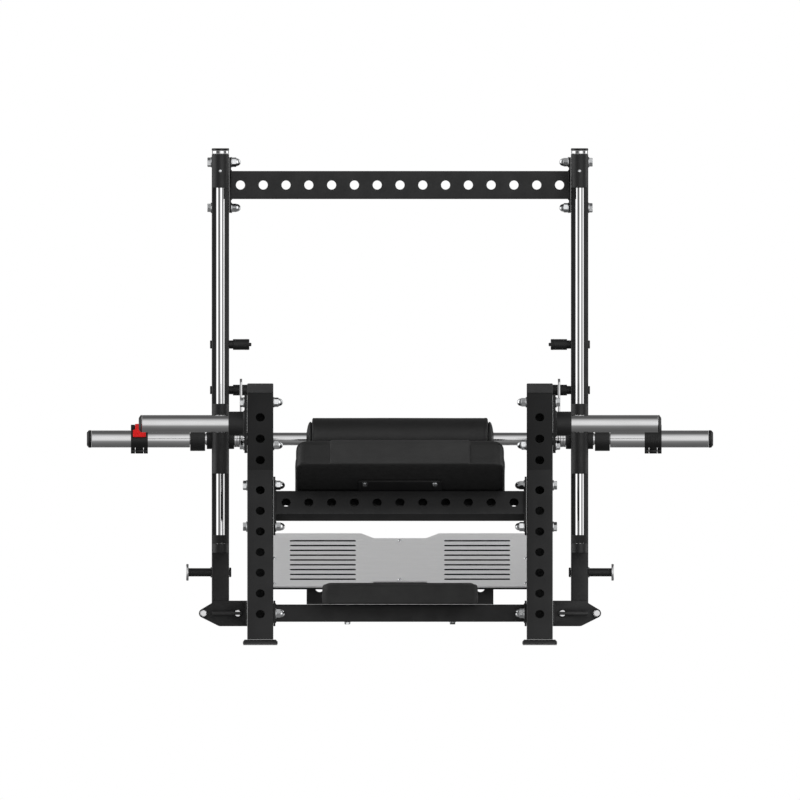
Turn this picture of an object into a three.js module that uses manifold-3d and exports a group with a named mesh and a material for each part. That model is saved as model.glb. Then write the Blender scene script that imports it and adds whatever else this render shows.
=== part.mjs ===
// Hip thrust machine, in millimetres.
// +Z is up, +X is to the right, and the user's feet point towards +Y. The origin is on the floor,
// in the middle of the machine. Left and right mean -X and +X, and both sides are alike.
import * as THREE from "three";
import { mergeVertices } from "three/addons/utils/BufferGeometryUtils.js";
import Module from "manifold-3d";

const wasm = await Module();
wasm.setup();

// ---- Driving dimensions ----
const GAP = 0.3; // between welded, bolted or glued neighbours
const TUBE = 75; // heavy square tube
const SLIM = 50; // light square tube, and the thin side of the beams
const WALL = 3;
const PITCH = 65.5; // from hole to hole, everywhere on the frame
const HOLE_RADIUS = 13;
const HOLE_SIDES = 6;
const ROUND_SIDES = 24;

const UPRIGHT_X = 401.5; // uprights, rails and rear posts share this plane
const HEAD_Y = -672.5; // where an upright's centre line meets the floor
const LEAN_BACK = THREE.MathUtils.degToRad(25);
const LEAN_FORWARD = THREE.MathUtils.degToRad(20);
const KNEE_Z = 501.6;
const UPPER_LENGTH = 253.4; // from the knee to the top, along the centre line
const LOWER_HOLES = { first: -11, last: 2 }; // counted from the pad beam, half a pitch apart
const UPPER_HOLES = { first: -3, last: 2 }; // counted from the storage sleeve
const FOOT = { width: 100, length: 120, height: 16, chamfer: 6 };
const REAR_Y = 665; // centre of the rear posts
const RAIL = { low: 54.4, high: 128 };

const FLANGE = { length: 160, thick: 5.5 };
const PAD_BEAM_Z = 400;
const PAD_PLATE = { width: 240, length: 170, thick: 5 };
const BACK_PAD = { width: 602, head: 188, tail: 162, board: 17, thick: 70, corner: 28 };

const COLUMN = { x: 516.1, y: 114.5, low: 68, top: 1410, cap: 6, highHole: 1387.7, holes: 19 };
const TOP_BEAM = { low: 1282, high: 1362.6, holes: 15 };
const OUTRIGGER = { tipX: 565, tipZ: 91.5, tipRadius: 13, plate: 6, chinX: 520, shoulderZ: 121 };
const HOOK_PEG = { radius: 9.5, front: 34, back: 12 };
const LOCK_PIN = { x: 466, radius: 10, reach: 30, handleX: 541, handleRadius: 5, stand: 18 };

const ROD = { y: 12.5, radius: 12.5, low: 270, high: 1405 };
const HOLDER_RADIUS = 24.5;
const HOLDER_ARM = 18;
const TOP_HOLDER = { low: 1314.4, high: 1412, neck: 1421, cap: 1428 };
const LOW_HOLDER = { low: 265, high: 292.4 };
const BUMPER = { low: 292.7, high: 316.5 };
const CARRIAGE = { low: 492.4, high: 693.8, boreRadius: 20, housingRadius: 29 };
const HOUSING = { inner: 476.5, outer: 555.3 };
const RUNNING_FIT = 0.1;

const BAR = { y: 57.5, z: 592.5, radius: 18.25, spindle: 15.75, spindleEnd: 880 };
const SHOULDER = { inner: 560, outer: 603.5, radius: 34.5 };
const SLEEVE = { end: 888, cap: 900, radius: 24.5, bore: 16, capRadius: 22 };
const BAR_PAD = { half: 251, end: 269, radius: 60, endRadius: 50.5, neckRadius: 42 };
const HOOK = { inner: 453.5, outer: 460.5, collar: 30, arm: 24, top: 173, jawRadius: 168, tipY: 39.5 };
const HOOK_GAPE = THREE.MathUtils.degToRad(6.2);

const RACK_PEG = { z: [733, 864], neck: 480, end: 433, nub: 427, radius: 15.5, pin: 10, out: 546 };
const BAND_PEG = { z: 209.3, end: 607.5, disc: 7, discRadius: 24, radius: 12, shank: 8, nut: 485 };
const STORAGE = {
  along: 143.5,
  flange: 8,
  collar: { end: 493, radius: 35 },
  sleeve: { end: 743, radius: 24.75 },
  cap: { end: 751, radius: 22.75 },
};
const CLAMP = {
  x: { left: 749, right: 727.4 },
  half: 24.4,
  radius: 33,
  lug: { half: 9, low: -42, high: -25 },
  crown: { half: 8, low: 25, high: 41 },
};
const LEVER = { half: 18.5, thumb: 12, low: 5.5, high: 25.5, top: 43.5, near: 34.5, far: 44.5, root: 10 };
const LEVER_BRIDGE = 7.5;

const CROSS_TUBE = { low: 67, high: 117 };
const SEAT = { halfWidth: 225.6, front: -95, back: 205, board: 12, top: 176.6, corner: 26 };
const FOOT_PLATE = { y: 427.5, z: 165, tilt: 30, length: 305, halfWidth: 378, thick: 5, tray: 6.5 };
const WAIST = { outer: 112, inner: 75, far: 28, near: 30.6 };
const SLOT = { inner: 126.7, outer: 316.7, width: 7, first: 41, step: 27.6, count: 9 };
const POST = { x: 231, y: 525, holeZ: 165.7 };

// ---- Materials ----
const finish = (color, roughness, metalness) =>
  new THREE.MeshStandardMaterial({ color, roughness, metalness });
const blackPaint = () => finish(0x2b2b2c, 0.55, 0.2);
const chrome = () => finish(0xc9cbcd, 0.2, 1);
const rubber = () => finish(0x1c1c1d, 0.8, 0);
const leather = () => finish(0x262627, 0.6, 0);
const plywood = () => finish(0x9a7a52, 0.8, 0);
const aluminium = () => finish(0xafb0b1, 0.45, 0.9);
const redPlastic = () => finish(0xd81e1e, 0.4, 0);
const bronze = () => finish(0xa5814a, 0.4, 0.9);

// ---- Shapes ----
function block(x, y, z) {
  const [low, high] = [x, y, z].reduce(
    (ends, pair) => [[...ends[0], Math.min(...pair)], [...ends[1], Math.max(...pair)]],
    [[], []],
  );
  const size = high.map((value, i) => value - low[i]);
  const middle = high.map((value, i) => (value + low[i]) / 2);
  return new THREE.BoxGeometry(...size).translate(...middle);
}

// A round bar along one axis, between two places on it. The other two places follow in X, Y, Z order.
function round(axis, from, to, radius, u = 0, v = 0, sides = ROUND_SIDES) {
  const bar = new THREE.CylinderGeometry(radius, radius, Math.abs(to - from), sides);
  const middle = (from + to) / 2;
  if (axis === "x") return bar.rotateZ(Math.PI / 2).translate(middle, u, v);
  if (axis === "y") return bar.translate(u, middle, v);
  return bar.rotateX(Math.PI / 2).translate(u, v, middle);
}

function outline(points) {
  return new THREE.Shape(points.map(([a, b]) => new THREE.Vector2(a, b)));
}

function roundedRectangle(halfWidth, low, high, corner) {
  const shape = new THREE.Shape();
  shape.absarc(halfWidth - corner, low + corner, corner, -Math.PI / 2, 0);
  shape.absarc(halfWidth - corner, high - corner, corner, 0, Math.PI / 2);
  shape.absarc(-halfWidth + corner, high - corner, corner, Math.PI / 2, Math.PI);
  shape.absarc(-halfWidth + corner, low + corner, corner, Math.PI, Math.PI * 1.5);
  return shape;
}

const EXTRUDE_BASES = {
  x: [new THREE.Vector3(0, 1, 0), new THREE.Vector3(0, 0, 1), new THREE.Vector3(1, 0, 0)],
  y: [new THREE.Vector3(1, 0, 0), new THREE.Vector3(0, 0, 1), new THREE.Vector3(0, -1, 0)],
  z: [new THREE.Vector3(1, 0, 0), new THREE.Vector3(0, 1, 0), new THREE.Vector3(0, 0, 1)],
};

// Extrudes an outline drawn in the other two axes (in X, Y, Z order) along the given axis.
function extrude(shape, axis, from, to, curveSegments = 3) {
  const low = Math.min(from, to);
  const depth = Math.abs(to - from);
  const geometry = new THREE.ExtrudeGeometry(shape, { depth, bevelEnabled: false, curveSegments });
  const start = axis === "y" ? low + depth : low;
  const move = EXTRUDE_BASES[axis][2].clone().multiplyScalar(axis === "y" ? -start : start);
  const basis = new THREE.Matrix4().makeBasis(...EXTRUDE_BASES[axis]).setPosition(move);
  return geometry.applyMatrix4(basis);
}

// ---- Joining and cutting ----
function solid(geometry) {
  const bare = geometry.clone();
  bare.deleteAttribute("normal");
  bare.deleteAttribute("uv");
  const merged = mergeVertices(bare, 1e-4);
  return new wasm.Manifold(
    new wasm.Mesh({
      numProp: 3,
      vertProperties: new Float32Array(merged.attributes.position.array),
      triVerts: new Uint32Array(merged.index.array),
    }),
  );
}

function shaped(adds, cuts = []) {
  let body = solid(adds[0]);
  for (const extra of adds.slice(1)) body = body.add(solid(extra));
  for (const cut of cuts) body = body.subtract(solid(cut));
  const mesh = body.getMesh();
  const geometry = new THREE.BufferGeometry();
  geometry.setAttribute("position", new THREE.BufferAttribute(mesh.vertProperties, 3));
  geometry.setIndex(new THREE.BufferAttribute(mesh.triVerts, 1));
  return geometry;
}

function lathe(profile, sides = ROUND_SIDES) {
  const points = profile.map(([radius, along]) => new THREE.Vector2(radius, along));
  return new THREE.LatheGeometry([...points, points[0].clone()], sides).rotateZ(-Math.PI / 2);
}

// Centres of a row of evenly spaced holes about a middle place.
function row(count) {
  return Array.from({ length: count }, (_, i) => (i - (count - 1) / 2) * PITCH);
}

function add(parent, name, geometry, material) {
  const mesh = new THREE.Mesh(geometry, material);
  mesh.name = name;
  parent.add(mesh);
  return mesh;
}

const machine = new THREE.Group();
const SIDES = [["left", -1], ["right", 1]];
const tan = Math.tan;
const cos = Math.cos;
const sin = Math.sin;
const uprightY = (z) => HEAD_Y + z * tan(LEAN_BACK);

// ---- Head-end uprights ----
// The bent tube's outline, a half width either side of its centre line. The foot end is level.
function bentOutline(half, below, above) {
  const turn = (LEAN_BACK + LEAN_FORWARD) / 2;
  const knee = { y: uprightY(KNEE_Z), z: KNEE_Z };
  const bisector = (LEAN_BACK - LEAN_FORWARD) / 2;
  const edge = (side) => {
    const reach = (side * half) / cos(turn);
    const corner = [knee.y + reach * cos(bisector), knee.z - reach * sin(bisector)];
    const foot = [uprightY(below) + (side * half) / cos(LEAN_BACK), below];
    const top = [
      knee.y - above * sin(LEAN_FORWARD) + side * half * cos(LEAN_FORWARD),
      knee.z + above * cos(LEAN_FORWARD) + side * half * sin(LEAN_FORWARD),
    ];
    return [foot, corner, top];
  };
  return outline([...edge(1), ...edge(-1).reverse()]);
}

// A drill that leans with the tube: across it from front to back, or from side to side.
function leaningDrill(x, y, z, lean, sideways) {
  if (sideways) return round("x", x - TUBE, x + TUBE, HOLE_RADIUS, y, z, HOLE_SIDES);
  const drill = round("y", -TUBE, TUBE, HOLE_RADIUS, 0, 0, HOLE_SIDES);
  return drill.rotateX(-lean).translate(x, y, z);
}

function uprightDrills(x) {
  const drills = [];
  for (let i = LOWER_HOLES.first; i <= LOWER_HOLES.last; i += 1) {
    const z = PAD_BEAM_Z + (i * PITCH * cos(LEAN_BACK)) / 2;
    drills.push(leaningDrill(x, uprightY(z), z, LEAN_BACK, i % 2 === 0));
  }
  for (let i = UPPER_HOLES.first; i <= UPPER_HOLES.last; i += 1) {
    const along = STORAGE.along + (i * PITCH) / 2;
    const y = uprightY(KNEE_Z) - along * sin(LEAN_FORWARD);
    const z = KNEE_Z + along * cos(LEAN_FORWARD);
    drills.push(leaningDrill(x, y, z, -LEAN_FORWARD, i % 2 === 0));
  }
  return drills;
}

function footGeometry(x, y) {
  const { width, length, height, chamfer } = FOOT;
  const half = width / 2;
  const profile = outline([
    [x - half, 0],
    [x + half, 0],
    [x + half, height - chamfer],
    [x + half - chamfer, height],
    [x - half + chamfer, height],
    [x - half, height - chamfer],
  ]);
  return extrude(profile, "y", y - length / 2, y + length / 2);
}

function buildUprights() {
  const half = TUBE / 2;
  for (const [name, side] of SIDES) {
    const x = side * UPRIGHT_X;
    const outer = extrude(bentOutline(half, FOOT.height + GAP, UPPER_LENGTH), "x", x - half, x + half);
    const inside = bentOutline(half - WALL, 0, UPPER_LENGTH + WALL);
    const bore = extrude(inside, "x", x - half + WALL, x + half - WALL);
    add(machine, `upright_${name}`, shaped([outer], [bore, ...uprightDrills(x)]), blackPaint());
    add(machine, `front_foot_${name}`, footGeometry(x, uprightY(FOOT.height)), rubber());
  }
}

// ---- Back pad on its tilted beam ----
function flangePlates(innerFace, y, z) {
  return [-1, 1].map((side) =>
    block([side * innerFace, side * (innerFace - FLANGE.thick)], y, z),
  );
}

function buildBackPad() {
  const group = new THREE.Group();
  group.position.set(0, uprightY(PAD_BEAM_Z), PAD_BEAM_Z);
  group.rotation.x = -LEAN_BACK;
  machine.add(group);

  const reach = UPRIGHT_X - TUBE / 2 - GAP;
  const end = reach - FLANGE.thick / 2;
  const half = { y: SLIM / 2, z: TUBE / 2 };
  const length = FLANGE.length / 2;
  const beam = [
    block([-end, end], [-half.y, half.y], [-half.z, half.z]),
    ...flangePlates(reach, [-half.z, half.z], [-length, length]),
  ];
  const inside = [half.y - WALL, half.z - WALL];
  const bore = block([-reach - 1, reach + 1], [-inside[0], inside[0]], [-inside[1], inside[1]]);
  const drills = row(11).map((x) => round("y", -SLIM, SLIM, HOLE_RADIUS, x, 0, HOLE_SIDES));
  add(group, "pad_crossbeam", shaped(beam, [bore, ...drills]), blackPaint());

  const plateTop = half.z + GAP + PAD_PLATE.thick;
  const plate = block(
    [-PAD_PLATE.width / 2, PAD_PLATE.width / 2],
    [-PAD_PLATE.length / 2, PAD_PLATE.length / 2],
    [half.z + GAP, plateTop],
  );
  add(group, "pad_mount_plate", plate, blackPaint());

  const { width, head, tail, board, thick, corner } = BACK_PAD;
  const low = plateTop + GAP;
  const boardShape = roundedRectangle(width / 2 - 3, -head + 3, tail - 3, corner);
  add(group, "back_pad_board", extrude(boardShape, "z", low, low + board), plywood());
  const cushionShape = roundedRectangle(width / 2, -head, tail, corner);
  const cushion = extrude(cushionShape, "z", low + board + GAP, low + board + thick);
  add(group, "back_pad_cushion", cushion, leather());
}

// ---- Floor frame ----
function buildRails() {
  const half = TUBE / 2;
  for (const [name, side] of SIDES) {
    const x = side * UPRIGHT_X;
    const front = (z, shift) => [uprightY(z) + half / cos(LEAN_BACK) + GAP + shift, z];
    const back = REAR_Y - half - GAP;
    const frame = (low, high, spare) =>
      outline([front(low, -spare), [back + spare, low], [back + spare, high], front(high, -spare)]);
    const outer = extrude(frame(RAIL.low, RAIL.high, 0), "x", x - half, x + half);
    const inner = frame(RAIL.low + WALL, RAIL.high - WALL, TUBE);
    const bore = extrude(inner, "x", x - half + WALL, x + half - WALL);
    add(machine, `side_rail_${name}`, shaped([outer], [bore]), blackPaint());
  }
}

// The underside of the foot plate's tray, where the rear posts end.
function trayZ(y) {
  const tilt = THREE.MathUtils.degToRad(FOOT_PLATE.tilt);
  return FOOT_PLATE.z + (y - FOOT_PLATE.y) * tan(tilt) - (FOOT_PLATE.tray + GAP) / cos(tilt);
}

function slantedPost(x, y, width, depth, low) {
  const ends = [y - depth / 2, y + depth / 2];
  const profile = outline([
    [ends[0], low],
    [ends[1], low],
    [ends[1], trayZ(ends[1]) - GAP],
    [ends[0], trayZ(ends[0]) - GAP],
  ]);
  return extrude(profile, "x", x - width / 2, x + width / 2);
}

function hollow(x, y, width, depth) {
  const half = [width / 2 - WALL, depth / 2 - WALL];
  return block([x - half[0], x + half[0]], [y - half[1], y + half[1]], [0, COLUMN.top - COLUMN.cap]);
}

function buildRearFrame() {
  const inner = UPRIGHT_X - TUBE / 2 - GAP;
  for (const [name, side] of SIDES) {
    const x = side * UPRIGHT_X;
    const post = slantedPost(x, REAR_Y, TUBE, TUBE, FOOT.height + GAP);
    add(machine, `rear_post_${name}`, shaped([post], [hollow(x, REAR_Y, TUBE, TUBE)]), blackPaint());
    add(machine, `rear_foot_${name}`, footGeometry(x, REAR_Y), rubber());

    const postX = side * POST.x;
    const stand = slantedPost(postX, POST.y, TUBE, SLIM, CROSS_TUBE.high + GAP);
    const drill = round("y", POST.y - SLIM, POST.y + SLIM, HOLE_RADIUS, postX, POST.holeZ, HOLE_SIDES);
    const standCuts = [hollow(postX, POST.y, TUBE, SLIM), drill];
    add(machine, `foot_plate_post_${name}`, shaped([stand], standCuts), blackPaint());
  }
  const beamTop = trayZ(REAR_Y - SLIM / 2) - GAP;
  const beam = crossTube(inner, REAR_Y, SLIM, [beamTop - TUBE, beamTop]);
  add(machine, "rear_crossbeam", beam, blackPaint());
  const lower = crossTube(inner, POST.y, SLIM, [CROSS_TUBE.low, CROSS_TUBE.high]);
  add(machine, "foot_crossmember", lower, blackPaint());
}

function crossTube(reach, y, depth, z, flanges = []) {
  const inside = [y - depth / 2 + WALL, y + depth / 2 - WALL];
  const bore = block([-reach - 1, reach + 1], inside, [z[0] + WALL, z[1] - WALL]);
  const tube = block([-reach, reach], [y - depth / 2, y + depth / 2], z);
  return shaped([tube, ...flanges], [bore]);
}

function buildSeat() {
  const reach = UPRIGHT_X - TUBE / 2 - GAP;
  const ends = [COLUMN.y - FLANGE.length / 2, COLUMN.y + FLANGE.length / 2];
  const flanges = flangePlates(reach, ends, [RAIL.low, RAIL.high]);
  const tube = crossTube(reach, COLUMN.y, SLIM, [CROSS_TUBE.low, CROSS_TUBE.high], flanges);
  add(machine, "seat_crossmember", tube, blackPaint());

  const { halfWidth, front, back, board, top, corner } = SEAT;
  const low = CROSS_TUBE.high + GAP;
  const boardShape = roundedRectangle(halfWidth - 3, front + 3, back - 3, corner);
  add(machine, "seat_pad_board", extrude(boardShape, "z", low, low + board), plywood());
  const shape = roundedRectangle(halfWidth, front, back, corner);
  add(machine, "seat_pad_cushion", extrude(shape, "z", low + board + GAP, top), leather());
}

// ---- Foot plate ----
function footPlateOutline() {
  const { halfWidth, length } = FOOT_PLATE;
  const right = [
    [WAIST.inner, WAIST.near],
    [WAIST.outer, 0],
    [halfWidth, 0],
    [halfWidth, length],
    [WAIST.outer, length],
    [WAIST.inner, length - WAIST.far],
  ];
  const left = right.map(([x, y]) => [-x, y]).reverse();
  return outline([...right, ...left]);
}

function slotCuts() {
  const half = SLOT.width / 2;
  return [-1, 1].flatMap((side) =>
    Array.from({ length: SLOT.count }, (_, i) => {
      const along = SLOT.first + i * SLOT.step;
      const x = [side * SLOT.inner, side * SLOT.outer];
      return block(x, [along - half, along + half], [-1, FOOT_PLATE.thick + 1]);
    }),
  );
}

function buildFootPlate() {
  const group = new THREE.Group();
  group.position.set(0, FOOT_PLATE.y, FOOT_PLATE.z);
  group.rotation.x = THREE.MathUtils.degToRad(FOOT_PLATE.tilt);
  machine.add(group);

  const shape = footPlateOutline();
  add(group, "foot_plate_tray", extrude(shape, "z", -FOOT_PLATE.tray, -GAP), blackPaint());
  const plate = extrude(shape, "z", 0, FOOT_PLATE.thick);
  add(group, "foot_plate", shaped([plate], slotCuts()), aluminium());
}

// ---- Tower ----
function buildColumns() {
  const half = SLIM / 2;
  for (const [name, side] of SIDES) {
    const x = side * COLUMN.x;
    const y = [COLUMN.y - half, COLUMN.y + half];
    const tube = block([x - half, x + half], y, [COLUMN.low, COLUMN.top]);
    const drills = Array.from({ length: COLUMN.holes }, (_, i) => {
      const z = COLUMN.highHole - i * PITCH;
      return round("x", x - SLIM, x + SLIM, HOLE_RADIUS, COLUMN.y, z, HOLE_SIDES);
    });
    const cuts = [hollow(x, COLUMN.y, SLIM, SLIM), ...drills];
    add(machine, `column_${name}`, shaped([tube], cuts), blackPaint());
  }
}

function buildTopBeam() {
  const reach = COLUMN.x - SLIM / 2 - GAP;
  const middle = (TOP_BEAM.low + TOP_BEAM.high) / 2;
  const half = SLIM / 2;
  const plates = flangePlates(
    reach,
    [COLUMN.y - half, COLUMN.y + half],
    [middle - FLANGE.length / 2, middle + FLANGE.length / 2],
  );
  const depth = SLIM - 2 * GAP;
  const inside = [COLUMN.y - depth / 2 + WALL, COLUMN.y + depth / 2 - WALL];
  const z = [TOP_BEAM.low + WALL, TOP_BEAM.high - WALL];
  const bore = block([-reach - 1, reach + 1], inside, z);
  const y = [COLUMN.y - depth / 2, COLUMN.y + depth / 2];
  const tube = block([-reach + 1, reach - 1], y, [TOP_BEAM.low, TOP_BEAM.high]);
  const drills = row(TOP_BEAM.holes).map((x) =>
    round("y", COLUMN.y - SLIM, COLUMN.y + SLIM, HOLE_RADIUS, x, middle, HOLE_SIDES),
  );
  add(machine, "top_crossbeam", shaped([tube, ...plates], [bore, ...drills]), blackPaint());
}

function outriggerOutline(side) {
  const { tipX, tipZ, tipRadius, chinX, shoulderZ } = OUTRIGGER;
  const outer = COLUMN.x + SLIM / 2;
  const start = UPRIGHT_X + TUBE / 2 + GAP;
  const points = [[start, RAIL.low], [chinX, RAIL.low]];
  const steps = 6;
  const low = THREE.MathUtils.degToRad(-62);
  const high = THREE.MathUtils.degToRad(62);
  for (let i = 0; i <= steps; i += 1) {
    const angle = low + ((high - low) * i) / steps;
    points.push([tipX + tipRadius * cos(angle), tipZ + tipRadius * sin(angle)]);
  }
  points.push([outer, shoulderZ], [outer - GAP, RAIL.high], [start, RAIL.high]);
  return outline(points.map(([x, z]) => [side * x, z]));
}

function buildOutriggers() {
  const { plate, tipX, tipZ } = OUTRIGGER;
  const inside = SLIM / 2 + GAP;
  const face = COLUMN.y - inside - plate;
  const start = UPRIGHT_X + TUBE / 2 + GAP;
  const y = [COLUMN.y - inside, COLUMN.y + inside];
  const length = FLANGE.length / 2;
  for (const [name, side] of SIDES) {
    const arm = extrude(outriggerOutline(side), "y", face, COLUMN.y + inside + plate);
    const flange = block(
      [side * start, side * (start + FLANGE.thick)],
      [COLUMN.y - length, COLUMN.y + length],
      [RAIL.low, RAIL.high],
    );
    const peg = round(
      "y", face - HOOK_PEG.front, COLUMN.y + inside + plate + HOOK_PEG.back, HOOK_PEG.radius,
      side * tipX, tipZ,
    );
    const socket = block([side * (COLUMN.x - inside), side * (COLUMN.x + TUBE)], y, [0, TUBE * 2]);
    const cave = block([side * (start + FLANGE.thick), side * COLUMN.x], y, [
      RAIL.low + WALL, RAIL.high - WALL,
    ]);
    const drill = round("y", face - 1, COLUMN.y, LOCK_PIN.radius + GAP, side * LOCK_PIN.x, tipZ);
    const hole = round("y", face - TUBE * 2, face + TUBE * 2, HOOK_PEG.radius, side * tipX, tipZ);
    const plates = shaped([arm, flange], [socket, cave, drill, hole]);
    add(machine, `outrigger_${name}`, shaped([plates, peg]), blackPaint());
    add(machine, `lock_pin_${name}`, lockPin(side, face), chrome());
  }
}

function lockPin(side, face) {
  const front = face - LOCK_PIN.stand;
  const pin = round(
    "y", front, face + LOCK_PIN.reach, LOCK_PIN.radius, side * LOCK_PIN.x, OUTRIGGER.tipZ,
  );
  const grip = round(
    "x", side * (LOCK_PIN.x - LOCK_PIN.handleRadius), side * LOCK_PIN.handleX, LOCK_PIN.handleRadius,
    front + LOCK_PIN.handleRadius + 1, OUTRIGGER.tipZ, 12,
  );
  return shaped([pin, grip]);
}

// ---- Guide rods and their holders ----
function holder(x, z, boreZ, extras = []) {
  const barrel = round("z", z[0], z[1], HOLDER_RADIUS, x, ROD.y);
  const arm = block([x - HOLDER_ARM, x + HOLDER_ARM], [ROD.y, COLUMN.y - SLIM / 2 - GAP], z);
  const bore = round("z", boreZ[0], boreZ[1], ROD.radius + GAP, x, ROD.y);
  return shaped([barrel, arm, ...extras], [bore]);
}

function buildRods() {
  for (const [name, side] of SIDES) {
    const x = side * COLUMN.x;
    const rod = round("z", ROD.low, ROD.high, ROD.radius, x, ROD.y);
    add(machine, `guide_rod_${name}`, rod, chrome());
    const neck = round("z", TOP_HOLDER.high - 1, TOP_HOLDER.neck, HOLDER_RADIUS - 0.5, x, ROD.y);
    const cap = round("z", TOP_HOLDER.neck - 1, TOP_HOLDER.cap, SLIM / 2, x, ROD.y);
    const ends = [TOP_HOLDER.low, TOP_HOLDER.high];
    const top = holder(x, ends, [TOP_HOLDER.low - 1, ROD.high + GAP], [neck, cap]);
    add(machine, `rod_holder_top_${name}`, top, blackPaint());
    const low = holder(x, [LOW_HOLDER.low, LOW_HOLDER.high], [ROD.low - GAP, LOW_HOLDER.high + 1]);
    add(machine, `rod_holder_base_${name}`, low, blackPaint());
    const ring = round("z", BUMPER.low, BUMPER.high, HOLDER_RADIUS, x, ROD.y);
    const hole = round("z", BUMPER.low - 1, BUMPER.high + 1, ROD.radius + GAP, x, ROD.y);
    add(machine, `rod_bumper_${name}`, shaped([ring], [hole]), rubber());
  }
}

// ---- Carriages ----
function buildCarriages() {
  const { low, high, boreRadius, housingRadius } = CARRIAGE;
  const facetSpare = 1 / cos(Math.PI / ROUND_SIDES);
  for (const [name, side] of SIDES) {
    const x = side * COLUMN.x;
    const post = round("z", low, high, HOLDER_RADIUS, x, ROD.y);
    const ends = [side * HOUSING.inner, side * HOUSING.outer];
    const housing = round("x", ends[0], ends[1], housingRadius, BAR.y, BAR.z);
    const bore = round("z", low - 1, high + 1, boreRadius, x, ROD.y);
    const barBore = round(
      "x", side * (HOUSING.inner - 1), side * (HOUSING.outer + 1),
      (BAR.radius + RUNNING_FIT) * facetSpare, BAR.y, BAR.z,
    );
    add(machine, `carriage_${name}`, shaped([post, housing], [bore, barBore]), blackPaint());

    const liner = round("z", low + GAP, high - GAP, boreRadius - GAP, x, ROD.y);
    const hole = round("z", low - 1, high + 1, ROD.radius + RUNNING_FIT, x, ROD.y);
    add(machine, `linear_bushing_${name}`, shaped([liner], [hole]), bronze());
  }
}

// ---- Bar ----
function buildBar() {
  const pieces = [round("x", -SHOULDER.inner, SHOULDER.inner, BAR.radius, BAR.y, BAR.z)];
  for (const side of [-1, 1]) {
    const from = side * (SHOULDER.inner - 1);
    pieces.push(round("x", from, side * SHOULDER.outer, SHOULDER.radius, BAR.y, BAR.z));
    pieces.push(round("x", from, side * BAR.spindleEnd, BAR.spindle, BAR.y, BAR.z));
  }
  add(machine, "bar_shaft", shaped(pieces), chrome());

  const facetSpare = 1 / cos(Math.PI / ROUND_SIDES);
  const hole = (BAR.radius + RUNNING_FIT) * facetSpare;
  const pad = lathe([
    [hole, -BAR_PAD.end],
    [BAR_PAD.neckRadius, -BAR_PAD.end],
    [BAR_PAD.endRadius, -BAR_PAD.half - 3],
    [BAR_PAD.radius, -BAR_PAD.half],
    [BAR_PAD.radius, BAR_PAD.half],
    [BAR_PAD.endRadius, BAR_PAD.half + 3],
    [BAR_PAD.neckRadius, BAR_PAD.end],
    [hole, BAR_PAD.end],
  ]);
  add(machine, "bar_pad", pad.translate(0, BAR.y, BAR.z), leather());

  for (const [name, side] of SIDES) {
    const shell = round("x", side * (SHOULDER.outer + GAP), side * SLEEVE.end, SLEEVE.radius, BAR.y, BAR.z);
    const cap = round("x", side * (SLEEVE.end - 1), side * SLEEVE.cap, SLEEVE.capRadius, BAR.y, BAR.z);
    const bore = round("x", side * SHOULDER.outer, side * (BAR.spindleEnd + GAP), SLEEVE.bore, BAR.y, BAR.z);
    add(machine, `bar_sleeve_${name}`, shaped([shell, cap], [bore]), chrome());
    add(machine, `rack_hook_${name}`, hookGeometry(side), chrome());
  }
}

// A flat hook on the bar. Its jaw's underside is an arc about the bar, so it swings over a peg.
function hookGeometry(side) {
  const { collar, arm, top, jawRadius, tipY } = HOOK;
  const tipAngle = Math.asin(tipY / jawRadius);
  const throatAngle = tipAngle - HOOK_GAPE;
  const throatY = jawRadius * sin(throatAngle);
  const points = [[-arm, 0], [arm, 0], [throatY - 4, jawRadius * 0.75]];
  const steps = 2;
  for (let i = 0; i <= steps; i += 1) {
    const angle = throatAngle + ((tipAngle - throatAngle) * i) / steps;
    points.push([jawRadius * sin(angle), jawRadius * cos(angle)]);
  }
  points.push([tipY, top], [throatY - arm * 0.7, top], [throatY - arm, top - 10]);
  const x = [side * HOOK.inner, side * HOOK.outer];
  const plate = extrude(outline(points), "x", x[0], x[1]).translate(0, BAR.y, BAR.z);
  const ring = round("x", x[0], x[1], collar, BAR.y, BAR.z);
  const hole = round("x", x[0] - side, x[1] + side, BAR.radius + GAP, BAR.y, BAR.z);
  return shaped([plate, ring], [hole]);
}

// ---- Plate clamps on the bar sleeves ----
// The lever sits on the head side of the left clamp and on the foot side of the right one.
function buildClamps() {
  const { half, radius, lug, crown } = CLAMP;
  for (const [name, side] of SIDES) {
    const x = side * CLAMP.x[name];
    const across = (reach) => [x - reach, x + reach];
    const away = (from, to) => [BAR.y + side * from, BAR.y + side * to];
    const up = (from, to) => [BAR.z + from, BAR.z + to];

    const ring = round("x", ...across(half), radius, BAR.y, BAR.z);
    const lugs = [lug, crown].map((part) =>
      block(across(half), away(-part.half, part.half), up(part.low, part.high)),
    );
    const hole = round("x", ...across(half + 1), SLEEVE.radius + GAP, BAR.y, BAR.z);
    add(machine, `clamp_ring_${name}`, shaped([ring, ...lugs], [hole]), blackPaint());

    const { near, far, low, high, top, thumb, root } = LEVER;
    const lever = [
      block(across(LEVER.half), away(near, far), up(low, high)),
      block(across(thumb), away(near, far), up(high - 1, top)),
      block(across(thumb), away(root, far), up(top - LEVER_BRIDGE, top)),
    ];
    add(machine, `clamp_lever_${name}`, shaped(lever), redPlastic());
  }
}

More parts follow.
